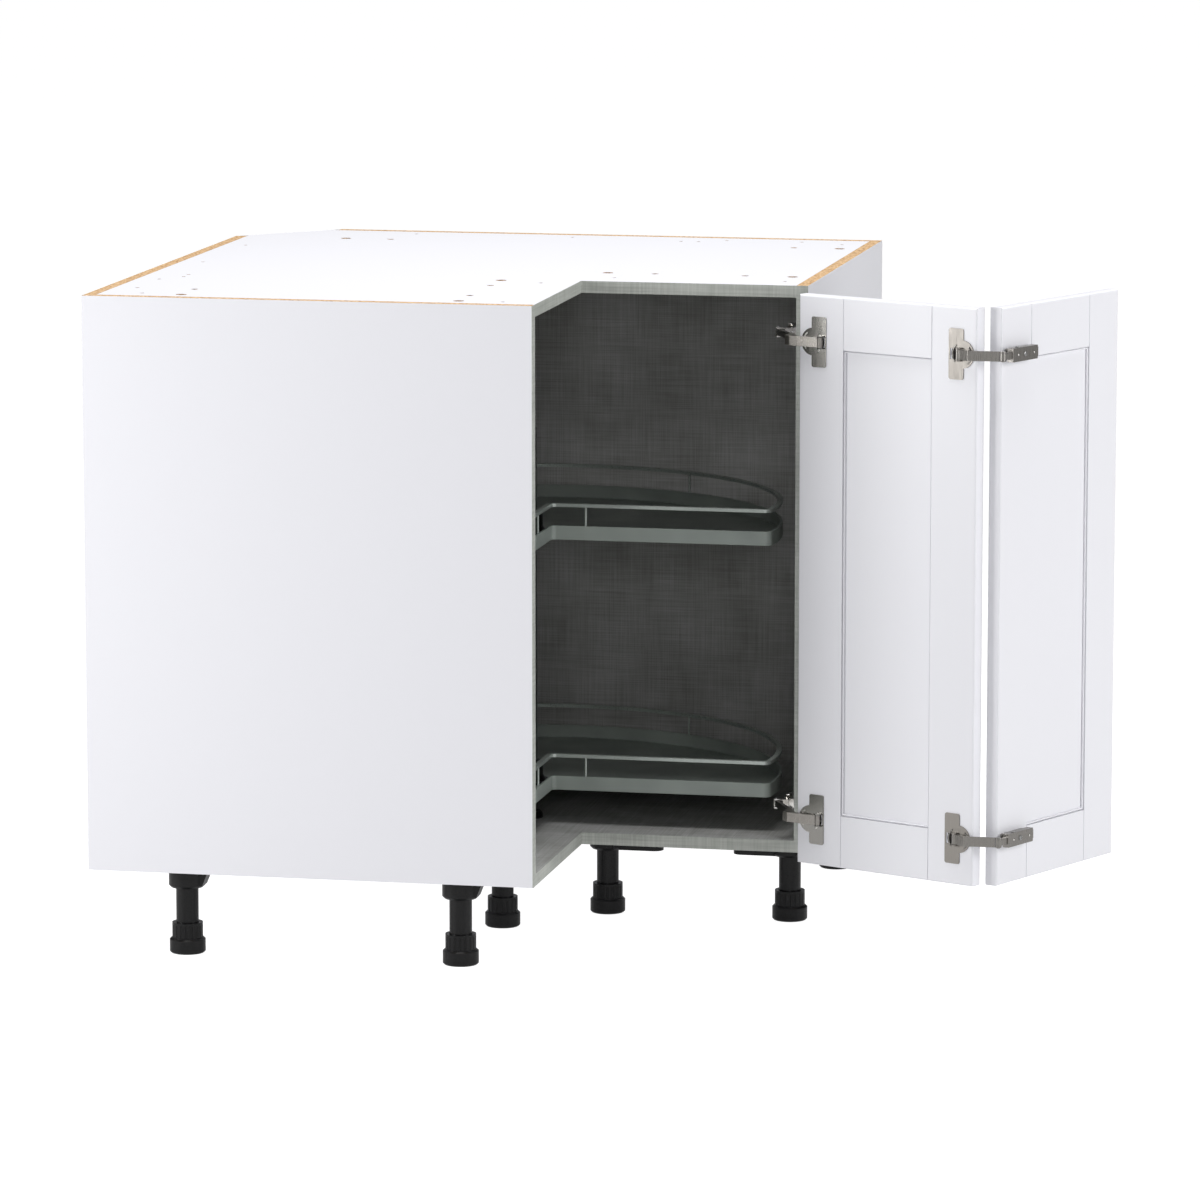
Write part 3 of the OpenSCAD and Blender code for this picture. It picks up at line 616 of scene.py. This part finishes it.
def new_shape(name: str) -> Shape:
    """Names the primitive that was just added and moves its place and turn into the mesh.

    Args:
        name: The name.

    Returns:
        The shape.
    """
    shape = bpy.context.active_object
    shape.name = shape.data.name = name
    settle(shape)
    return shape


def only(shape: Shape, *others: Shape) -> None:
    """Selects these objects alone.

    Args:
        shape: The one that becomes active.
        *others: The rest.
    """
    bpy.ops.object.select_all(action="DESELECT")
    for one in (shape, *others):
        one.select_set(True)
    bpy.context.view_layer.objects.active = shape


def settle(shape: Shape) -> None:
    """Moves place, turn and scale into the mesh."""
    only(shape)
    bpy.ops.object.transform_apply(location=True, rotation=True, scale=True)


def open_faces(shape: Shape, chosen: Callable[[Vector, Vector], bool]) -> None:
    """Goes into edit mode with the chosen faces selected.

    Args:
        shape: The object.
        chosen: Says for a face's centre and normal whether it is wanted.
    """
    only(shape)
    bpy.ops.object.mode_set(mode="EDIT")
    bpy.ops.mesh.select_mode(type="FACE")
    bpy.ops.mesh.select_all(action="DESELECT")
    bpy.ops.object.mode_set(mode="OBJECT")
    for face in shape.data.polygons:
        face.select = chosen(face.center, face.normal)
    bpy.ops.object.mode_set(mode="EDIT")


def close_shape(shape: Shape) -> None:
    """Leaves edit mode with doubles merged and all faces turned outwards.

    Args:
        shape: The object in edit mode.
    """
    bpy.ops.mesh.select_all(action="SELECT")
    bpy.ops.mesh.remove_doubles(threshold=mm(0.005))
    bpy.ops.mesh.normals_make_consistent(inside=False)
    bpy.ops.object.mode_set(mode="OBJECT")
    shape.select_set(False)


def apply_modifier(shape: Shape, kind: str, **settings: Any) -> None:
    """Adds a modifier and applies it.

    Args:
        shape: The object.
        kind: The modifier's type name.
        **settings: Attributes of the modifier.
    """
    only(shape)
    step = shape.modifiers.new(kind.lower(), kind)
    for name, value in settings.items():
        setattr(step, name, value)
    bpy.ops.object.modifier_apply(modifier=step.name)


def cut_away(shape: Shape, tool: Shape) -> None:
    """Cuts the tool's volume out of a shape and throws the tool away."""
    apply_modifier(shape, "BOOLEAN", operation="DIFFERENCE", solver="EXACT", object=tool)
    bpy.data.objects.remove(tool, do_unlink=True)


def round_edges(shape: Shape, width: float, segments: int, sharp_deg: float) -> None:
    """Rounds the sharp edges of a shape for good.

    Args:
        shape: The object.
        width: Width of the rounding.
        segments: Facets across it.
        sharp_deg: The least angle of an edge that counts as sharp.
    """
    apply_modifier(
        shape,
        "BEVEL",
        width=width,
        segments=segments,
        limit_method="ANGLE",
        angle_limit=math.radians(sharp_deg),
    )


def block(name: str, size: Point, middle: Point, turn_deg: float = 0.0) -> Shape:
    """Adds a block.

    Args:
        name: The block's name.
        size: Its size along each axis, before the turn.
        middle: Where its middle is.
        turn_deg: Its turn in plan.

    Returns:
        The block, at the origin.
    """
    turn = (0.0, 0.0, math.radians(turn_deg))
    bpy.ops.mesh.primitive_cube_add(size=1.0, location=middle, rotation=turn)
    bpy.context.active_object.scale = size
    return new_shape(name)


def disc(name: str, radius: float, height: float, facets: int) -> Shape:
    """Adds an upright cylinder whose base is at the origin.

    Args:
        name: The cylinder's name.
        radius: Its radius.
        height: Its height.
        facets: Number of its sides.

    Returns:
        The cylinder.
    """
    bpy.ops.mesh.primitive_cylinder_add(
        vertices=facets, radius=radius, depth=height, location=(0.0, 0.0, height / 2)
    )
    return new_shape(name)


def faces_up(centre: Vector, normal: Vector) -> bool:
    """True for a face that looks up."""
    return normal.z > 0.9


def set_out(shape: Shape, name: str, places: Sequence[Matrix]) -> Shape:
    """Copies a finished shape to its places and joins the copies to one piece.

    Args:
        shape: The shape that was modelled once; it is used up.
        name: The piece's name.
        places: Where each copy goes.

    Returns:
        The piece, at the origin.
    """
    copies = []
    for place in places:
        copy = shape.copy()
        copy.data = shape.data.copy()
        bpy.context.scene.collection.objects.link(copy)
        copy.matrix_world = place
        settle(copy)
        copies.append(copy)
    bpy.data.objects.remove(shape, do_unlink=True)
    only(*copies)
    bpy.ops.object.join()
    piece = bpy.context.active_object
    piece.name = piece.data.name = name
    bpy.ops.object.shade_smooth_by_angle(angle=math.radians(35.0))
    return piece


def fit_piece(piece: Shape, finish: Finish, body: str) -> None:
    """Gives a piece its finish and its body.

    Args:
        piece: The modelled piece.
        finish: What it is made of.
        body: The body of the frame that carries it.
    """
    piece.data.materials.clear()
    piece.data.materials.append(finish.material())
    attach(piece, body)
    LOG.info("%s on %s: %s", piece.name, body, finish.title)


@dataclass(frozen=True)
class CrossScrew:
    """Pan head with a cross recess, base at the origin and axis up."""

    head_r: float = mm(3.2)
    head_h: float = mm(1.0)
    slot_w: float = mm(0.9)
    rim: float = mm(0.12)
    crown: float = 0.3  # how far the crown goes in and up, of the radius and the height

    def build(self) -> Shape:
        """Models one head: crowned top, cross recess, rounded rim.

        Returns:
            The head.
        """
        head = disc("screw_head", self.head_r, self.head_h, facets=40)
        open_faces(head, faces_up)
        bpy.ops.mesh.inset(thickness=self.head_r * self.crown)
        bpy.ops.transform.translate(value=(0, 0, self.head_h * self.crown))
        close_shape(head)
        # the blades leave 6 tenths of the head's height below the recess and stand out on top
        size = (self.head_r * 1.25, self.slot_w, self.head_h * 1.4)
        for turn_deg in (0.0, 90.0):
            cut_away(head, block("blade", size, (0.0, 0.0, self.head_h * 1.3), turn_deg))
        round_edges(head, self.rim, segments=2, sharp_deg=35.0)
        return head


@dataclass(frozen=True)
class RivetHead:
    """Domed head of a pin or rivet, base at the origin and axis up.

    Attributes:
        radius: Radius of its foot.
        height: Height of the dome.
        dome: How far each step goes in and up, of the radius and the height.
    """

    radius: float = mm(2.6)
    height: float = mm(0.9)
    dome: tuple[tuple[float, float], ...] = ((0.16, 0.28), (0.3, 0.16), (0.3, 0.06))

    def build(self) -> Shape:
        """Models one head: a short cylinder stepped into a dome.

        Returns:
            The head.
        """
        head = disc("rivet_head", self.radius, self.height * 0.5, facets=32)
        open_faces(head, faces_up)
        for inset, rise in self.dome:
            bpy.ops.mesh.inset(thickness=self.radius * inset)
            bpy.ops.transform.translate(value=(0, 0, self.height * rise))
        close_shape(head)
        return head


@dataclass(frozen=True)
class CupLip:
    """Rolled lip of a hinge cup: an arc of round wire in the plane of the leaf, ends closed."""

    ring_r: float = mm(14.5)
    wire_r: float = mm(1.2)
    open_deg: float = 42.0

    def build(self) -> Shape:
        """Models the upper arc: a circle swept round the leaf's own normal.

        Returns:
            The arc.
        """
        bpy.ops.mesh.primitive_circle_add(
            vertices=16, radius=self.wire_r, fill_type="NOTHING", location=(self.ring_r, 0, 0)
        )
        arc = new_shape("cup_lip")
        sweep = math.radians(180.0 - 2.0 * self.open_deg)
        bpy.ops.object.mode_set(mode="EDIT")
        bpy.ops.mesh.select_all(action="SELECT")
        bpy.ops.mesh.spin(steps=28, angle=sweep, center=(0, 0, 0), axis=(0, -1, 0))
        bpy.ops.mesh.select_all(action="DESELECT")
        bpy.ops.mesh.select_mode(type="EDGE")
        bpy.ops.mesh.select_non_manifold()
        bpy.ops.mesh.fill_holes(sides=0)
        close_shape(arc)
        arc.rotation_euler = (0.0, -math.radians(self.open_deg), 0.0)
        settle(arc)
        return arc


@dataclass(frozen=True)
class PanelBead:
    """Low bead round a sunk door panel, in the leaf's own axes with its front at y = 0.

    A fine groove is left between the frame and the bead, and its shade draws the panel's outline.
    """

    low: tuple[float, float] = (mm(70.0), mm(186.5))
    high: tuple[float, float] = (mm(211.0), mm(809.5))
    panel_at: float = mm(4.0)
    groove: float = mm(1.2)
    width: float = mm(2.0)
    height: float = mm(2.8)
    edge: float = mm(0.8)

    def plate(self, name: str, margin: float, start: float, end: float) -> Shape:
        """Adds a block as large as the panel's opening, less a margin all round.

        Args:
            name: The block's name.
            margin: The margin.
            start: Place of its front.
            end: Place of its back.

        Returns:
            The block.
        """
        wide, tall = (self.high[i] - self.low[i] - 2 * margin for i in (0, 1))
        across, up = ((self.high[i] + self.low[i]) / 2 for i in (0, 1))
        return block(name, (wide, end - start, tall), (across, (start + end) / 2, up))

    def build(self) -> Shape:
        """Models the bead: a block with its middle cut out and its edges rounded.

        Returns:
            The bead.
        """
        ring = self.plate("bead", self.groove, self.panel_at - self.height, self.panel_at)
        inner = self.groove + self.width
        cut_away(ring, self.plate("middle", inner, -self.panel_at, self.panel_at * 2))
        round_edges(ring, self.edge, segments=3, sharp_deg=40.0)
        return ring


@dataclass(frozen=True)
class ClipLever:
    """Pressed lever that unclips the hinge arm from its plate, base at the origin and axis up."""

    length: float = mm(15.0)
    width: float = mm(6.5)
    sheet: float = mm(1.6)
    rise: float = mm(3.2)
    rim: float = mm(1.5)
    raised: float = mm(0.5)
    edge: float = mm(0.4)

    def build(self) -> Shape:
        """Models the lever: a strip whose free end is drawn up and folded back, edges rounded.

        Returns:
            The lever.
        """
        size = (self.width, self.length, self.sheet)
        lever = block("clip_lever", size, (0.0, 0.0, self.sheet / 2))
        open_faces(lever, lambda centre, normal: normal.y < -0.9)
        bpy.ops.mesh.extrude_region_move(
            TRANSFORM_OT_translate={"value": (0, -self.sheet * 1.5, self.rise)}
        )
        bpy.ops.transform.resize(value=(0.8, 1.0, 1.0))
        bpy.ops.mesh.extrude_region_move(
            TRANSFORM_OT_translate={"value": (0, -self.sheet, -self.rise * 0.25)}
        )
        close_shape(lever)
        open_faces(lever, lambda centre, normal: normal.z > 0.9 and centre.y > -self.length / 2)
        bpy.ops.mesh.inset(thickness=self.rim)
        bpy.ops.transform.translate(value=(0, 0, self.raised))
        close_shape(lever)
        round_edges(lever, self.edge, segments=3, sharp_deg=30.0)
        return lever


# --------------------------------------------------------------- the cabinet


@dataclass(frozen=True)
class Leaf:
    """Where a door leaf stands in the frame.

    Attributes:
        edge: Edge of its inner face at the hinges, on the floor.
        turn_deg: Its turn in plan.
        width: Its width.
        thickness: Its thickness.
    """

    edge: Point
    turn_deg: float
    width: float = mm(281.0)
    thickness: float = mm(19.0)

    def at(self, along: float = 0.0, out: float = 0.0, height: float = 0.0) -> Matrix:
        """Finds a place on the leaf, whose z axis is its upright and whose -y looks at the room.

        Args:
            along: Distance from the edge.
            out: Distance across the leaf, negative in front of its inner face.
            height: Height above the floor.

        Returns:
            The matrix of the place.
        """
        turned = Matrix.Rotation(math.radians(self.turn_deg), 4, "Z")
        return Matrix.Translation(self.edge) @ turned @ Matrix.Translation((along, out, height))

    def back(self) -> Matrix:
        """Finds the place from which the other face looks as the inner one does from its edge.

        Returns:
            The matrix of the place.
        """
        return self.at(self.width, self.thickness) @ Matrix.Rotation(math.pi, 4, "Z")


HUNG_LEAF = Leaf((mm(256.42), mm(-225.0), 0.0), -25.0)
FOLD_LEAF = Leaf((mm(541.66), mm(-332.63), 0.0), 65.0)


@dataclass
class Carcass:
    """Boards, edge bands, dowels and the thin board across the room corner.

    Attributes:
        boards: Each board with the axis across its thickness, and True if its white face is the
            one further along that axis.
    """

    boards: tuple[tuple[str, Axis, bool], ...] = (
        ("left_end_panel", Axis.Y, False),
        ("right_end_panel", Axis.X, True),
        ("left_wall_panel", Axis.X, False),
        ("rear_wall_panel", Axis.Y, True),
        ("top_panel", Axis.Z, True),
        ("bottom_panel", Axis.Z, False),
    )

    def dress(self) -> None:
        """Coats all boards and bands."""
        for name, axis, white_far in self.boards:
            near, far = (corner[axis.value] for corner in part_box(name))
            outside, inside = (far, near) if white_far else (near, far)
            skin = BoardSkin(f"coated_{name}", axis=axis, outside=outside, inside=inside)
            dress_node(name, skin)
        dress_node("corner_back_panel", Hardboard())
        dress_node("front_edge_bands", EDGE_LINEN)
        dress_node("board_dowels", Beech())


@dataclass
class Carousel:
    """The post with its bearings and the two turning trays."""

    levels: tuple[str, ...] = ("lower", "upper")
    tray_edge: float = mm(0.45)
    rail_edge: float = mm(1.4)

    def dress(self) -> None:
        """Paints the trays and plates the post."""
        for level in self.levels:
            dress_node(f"{level}_tray", TRAY_COAT)
            dress_node(f"{level}_tray_rail", RAIL_COAT)
            dress_node(f"{level}_tray_hub", PLASTIC)
            soften(f"{level}_tray", self.tray_edge)
            soften(f"{level}_tray_rail", self.rail_edge, 3)
            dress_node(f"post_{level}_tube", TUBE)
        for name in ("floor_bearing", "ceiling_bearing", "tray_collars"):
            dress_node(name, PLASTIC)


@dataclass
class FoldingDoor:
    """The two leaves."""

    parts: tuple[str, ...] = (
        "hung_leaf_hinge_stile",
        "hung_leaf_fold_stile",
        "hung_leaf_top_rail",
        "hung_leaf_bottom_rail",
        "hung_leaf_panel",
        "fold_leaf_inner_stile",
        "fold_leaf_free_stile",
        "fold_leaf_top_rail",
        "fold_leaf_bottom_rail",
        "fold_leaf_panel",
    )

    def dress(self) -> None:
        """Paints the frames and centre panels and runs a bead round both faces of each panel."""
        for name in self.parts:
            dress_node(name, DOOR)
        for name, body, leaf in (
            ("hung_leaf_bead", "hung_leaf", HUNG_LEAF),
            ("fold_leaf_bead", "folding_leaf", FOLD_LEAF),
        ):
            piece = set_out(PanelBead().build(), name, [leaf.at(), leaf.back()])
            fit_piece(piece, DOOR, body)


@dataclass
class Hinges:
    """Wide-angle hinges on the carcass and fold hinges between the leaves.

    Places on a leaf are distances along it and across it; the others are places in plan.
    """

    heights: tuple[float, float] = (mm(178.0), mm(818.0))
    flange_t: float = mm(1.2)
    low_lip: float = mm(0.6)
    cup_edge: float = mm(22.5)
    fold_cup_edge: float = mm(258.5)
    fold_arm_front: float = mm(-15.0)
    fold_arm_h: float = mm(18.0)
    front_screw: float = mm(33.0)
    top_screw: tuple[float, float] = (mm(22.0), mm(-10.5))
    rivets: tuple[float, float] = (mm(17.0), mm(54.0))
    rivet_r: float = mm(1.5)
    cam_side: float = mm(221.42)
    cams: tuple[float, float] = (mm(-122.0), mm(-102.0))
    cam_screw: CrossScrew = CrossScrew(head_r=mm(4.0), head_h=mm(1.4))
    lever: tuple[float, float] = (mm(225.4), mm(-112.0))
    arm_h: float = mm(13.0)
    half_pin: float = mm(7.0)
    stamped_edge: float = mm(0.35)
    knuckle: tuple[float, float] = (mm(-12.0), mm(-10.0))
    arm_pin: Point = (mm(211.41), mm(-134.5), 0.0)
    link_pin: Point = (mm(240.24), mm(-189.39), 0.0)

    def plate(self) -> None:
        """Plates the hinge parts of the frame and rounds their stamped edges."""
        pins = ("hinge_arm_pins", "link_pins", "cup_pins", "fold_cup_pins", "fold_arm_pins")
        finishes = {
            CHROME: ("hinge_mounting_plates", "hinge_arms", "inner_hinge_links"),
            LINK_STEEL: ("outer_hinge_links",),
            FLANGE_STEEL: ("hinge_cups",),
            TURNED: pins,
            FOLD_FLANGE_STEEL: ("fold_hinge_cups",),
            NICKEL: ("fold_hinge_links", "fold_hinge_arms", "fold_mounting_plates"),
        }
        for finish, names in finishes.items():
            for name in names:
                dress_node(name, finish)
                soften(name, self.stamped_edge)

    def lips(self) -> None:
        """Rolls lips above and below the mouth of each cup.

        Those of the carcass hinges stand only 0.6 mm proud of the leaf, because the shut leaf
        leaves 2 mm to the carcass.
        """
        for name, along, out, finish, slot in (
            ("hinge_cup_lips", self.cup_edge, -self.low_lip, LIP_STEEL, "hinge_chrome"),
            ("fold_cup_lips", self.fold_cup_edge, -self.flange_t, NICKEL, "hinge_nickel"),
        ):
            places = [
                HUNG_LEAF.at(along, out, height) @ Matrix.Rotation(half, 4, "Y")
                for height in self.heights
                for half in (0.0, math.pi)
            ]
            fit_piece(set_out(CupLip().build(), name, places), finish, "hung_leaf")

    def fold_fasteners(self) -> None:
        """Drives the cross screws and rivets of the fold arms."""
        forward = Matrix.Rotation(math.radians(90.0), 4, "X")
        front = [
            FOLD_LEAF.at(self.front_screw, self.fold_arm_front, height) @ forward
            for height in self.heights
        ]
        top = [
            FOLD_LEAF.at(*self.top_screw, height + self.fold_arm_h / 2) for height in self.heights
        ]
        screws = set_out(CrossScrew().build(), "fold_arm_screws", front + top)
        fit_piece(screws, TURNED, "folding_leaf")
        places = [
            FOLD_LEAF.at(along, self.fold_arm_front, height) @ forward
            for height in self.heights
            for along in self.rivets
        ]
        rivets = set_out(RivetHead(self.rivet_r).build(), "fold_arm_rivets", places)
        fit_piece(rivets, CHROME, "folding_leaf")

    def carcass_fasteners(self) -> None:
        """Sets the cam screws and clip levers of the carcass arms."""
        sideways = Matrix.Rotation(math.radians(-90.0), 4, "Y")
        places = [
            Matrix.Translation((self.cam_side, along, height)) @ sideways
            for height in self.heights
            for along in self.cams
        ]
        screws = set_out(self.cam_screw.build(), "hinge_cam_screws", places)
        fit_piece(screws, CHROME, "carcass")
        places = [
            Matrix.Translation((*self.lever, height + self.arm_h / 2)) for height in self.heights
        ]
        levers = set_out(ClipLever().build(), "hinge_clip_levers", places)
        fit_piece(levers, CHROME, "carcass")

    def pin_heads(self) -> None:
        """Rivets both ends of the pins that can be seen."""
        turns = (Matrix.Identity(4), Matrix.Rotation(math.pi, 4, "X"))
        for name, body, middle in (
            ("fold_pin_heads", "fold_link", FOLD_LEAF.at(*self.knuckle)),
            ("arm_pin_heads", "carcass", Matrix.Translation(self.arm_pin)),
            ("link_pin_heads", "outer_link", Matrix.Translation(self.link_pin)),
        ):
            places = [
                middle
                @ Matrix.Translation((0, 0, height))
                @ turn
                @ Matrix.Translation((0, 0, self.half_pin))
                for height in self.heights
                for turn in turns
            ]
            fit_piece(set_out(RivetHead().build(), name, places), TURNED, body)

    def dress(self) -> None:
        """Plates the hinges and adds their small parts."""
        self.plate()
        self.lips()
        self.fold_fasteners()
        self.carcass_fasteners()
        self.pin_heads()


@dataclass
class Legs:
    """Sockets, tubes and the seven adjustable feet."""

    count: int = 7

    def dress(self) -> None:
        """Gives all leg parts their plastic."""
        feet = [f"foot_{number}" for number in range(1, self.count + 1)]
        for name in ("leg_sockets", "leg_tubes", *feet):
            dress_node(name, PLASTIC)


# ---------------------------------------------------------------- the studio


@dataclass(frozen=True)
class SoftBox:
    """A square soft box that faces one point."""

    name: str
    at: Point
    aim: Point
    size: float
    power: float

    def hang(self) -> None:
        """Hangs the box at its place and turns it to its aim."""
        data = bpy.data.lights.new(self.name, "AREA")
        data.shape, data.size, data.energy = "SQUARE", self.size, self.power
        lamp = bpy.data.objects.new(self.name, data)
        bpy.context.scene.collection.objects.link(lamp)
        lamp.location = self.at
        turn = (Vector(self.aim) - Vector(self.at)).to_track_quat("-Z", "Y")
        lamp.rotation_euler = turn.to_euler()


@dataclass
class Studio:
    """Floor, light and camera.

    The camera stands where the photographer's stood. Its pitch takes the place of the rise of a
    view camera, which leaves uprights 4 to 7 pixels out of true near the picture's edges.

    Attributes:
        corner: The cabinet's plan corner, from which the stand was measured.
        stand: The camera's place, seen from that corner.
        yaw_deg: Its turn in plan.
        pitch_deg: How far it looks down.
        focal_px: Its focal length in pixels of the photograph.
        picture_px: Width of the photograph.
        sensor_mm: Width of the sensor.
        room_light: How bright the white room is as a light.
        room_seen: How bright the camera sees it.
        floor_size: Side of the floor.
        floor_at: Its height, just under the feet.
        boxes: The soft boxes.
    """

    corner: Point = (mm(-659.58), mm(-457.0), mm(114.0))
    stand: Point = (mm(2428.5), mm(-8312.1), mm(1725.6))
    yaw_deg: float = 11.777
    pitch_deg: float = 8.967
    focal_px: float = 6609.9
    picture_px: float = 1200.0
    sensor_mm: float = 36.0
    room_light: float = 0.1
    room_seen: float = 1.05
    floor_size: float = 60.0
    floor_at: float = mm(-0.5)
    boxes: tuple[SoftBox, ...] = (
        SoftBox("top_box", (0.0, -0.2, 4.0), (0.0, 0.0, 0.8), 2.5, 162.0),
        SoftBox("left_end_box", (-2.4, -1.7, 1.0), (-0.4, -0.45, 0.55), 1.0, 46.0),
        SoftBox("left_box", (-4.0, 0.0, 1.6), (0.0, 0.0, 0.5), 2.0, 12.0),
        SoftBox("front_box", (0.9, -4.6, 1.3), (0.1, 0.0, 0.5), 0.8, 21.0),
        SoftBox("right_front_box", (2.2, -4.2, 1.8), (0.2, 0.0, 0.5), 2.4, 6.0),
        SoftBox("right_box", (4.0, -1.0, 1.5), (0.2, 0.0, 0.5), 2.0, 86.0),
    )

    def floor(self) -> None:
        """Lays the lit floor just under the feet."""
        bpy.ops.mesh.primitive_plane_add(size=self.floor_size, location=(0.0, 0.0, self.floor_at))
        sheet = new_shape("studio_floor")
        sheet.data.materials.append(LightTable().material())

    def light(self) -> None:
        """Sets the white room and its soft boxes."""
        world = bpy.data.worlds.new("white_room")
        bpy.context.scene.world = world
        world.use_nodes = True
        tree = world.node_tree
        back = tree.nodes["Background"]
        back.inputs["Color"].default_value = (1.0, 1.0, 1.0, 1.0)
        eye = add_node(tree, "ShaderNodeLightPath").outputs[0]
        inputs = {0: eye, 3: self.room_light, 4: self.room_seen}
        strength = add_node(tree, "ShaderNodeMapRange", inputs).outputs[0]
        tree.links.new(strength, back.inputs["Strength"])
        for box in self.boxes:
            box.hang()

    def camera(self) -> None:
        """Sets the camera from the fitted stand, yaw, pitch and focal length."""
        data = bpy.data.cameras.new("photo_view")
        data.sensor_width = self.sensor_mm
        data.lens = self.focal_px / self.picture_px * self.sensor_mm
        data.clip_end = 100.0
        camera = bpy.data.objects.new("photo_view", data)
        bpy.context.scene.collection.objects.link(camera)
        camera.location = tuple(c + s for c, s in zip(self.corner, self.stand))
        pitch, yaw = math.radians(90.0 - self.pitch_deg), math.radians(self.yaw_deg)
        camera.rotation_euler = (pitch, 0.0, yaw)
        bpy.context.scene.camera = camera

    def build(self) -> None:
        """Sets up the whole studio."""
        self.floor()
        self.light()
        self.camera()
        bpy.context.scene.view_settings.view_transform = "Standard"


def main() -> None:
    """Dresses the cabinet and sets the studio."""
    for part in (Carcass(), Carousel(), FoldingDoor(), Hinges(), Legs()):
        part.dress()
        LOG.info("%s done", type(part).__name__)
    Studio().build()


if __name__ == "__main__":
    main()
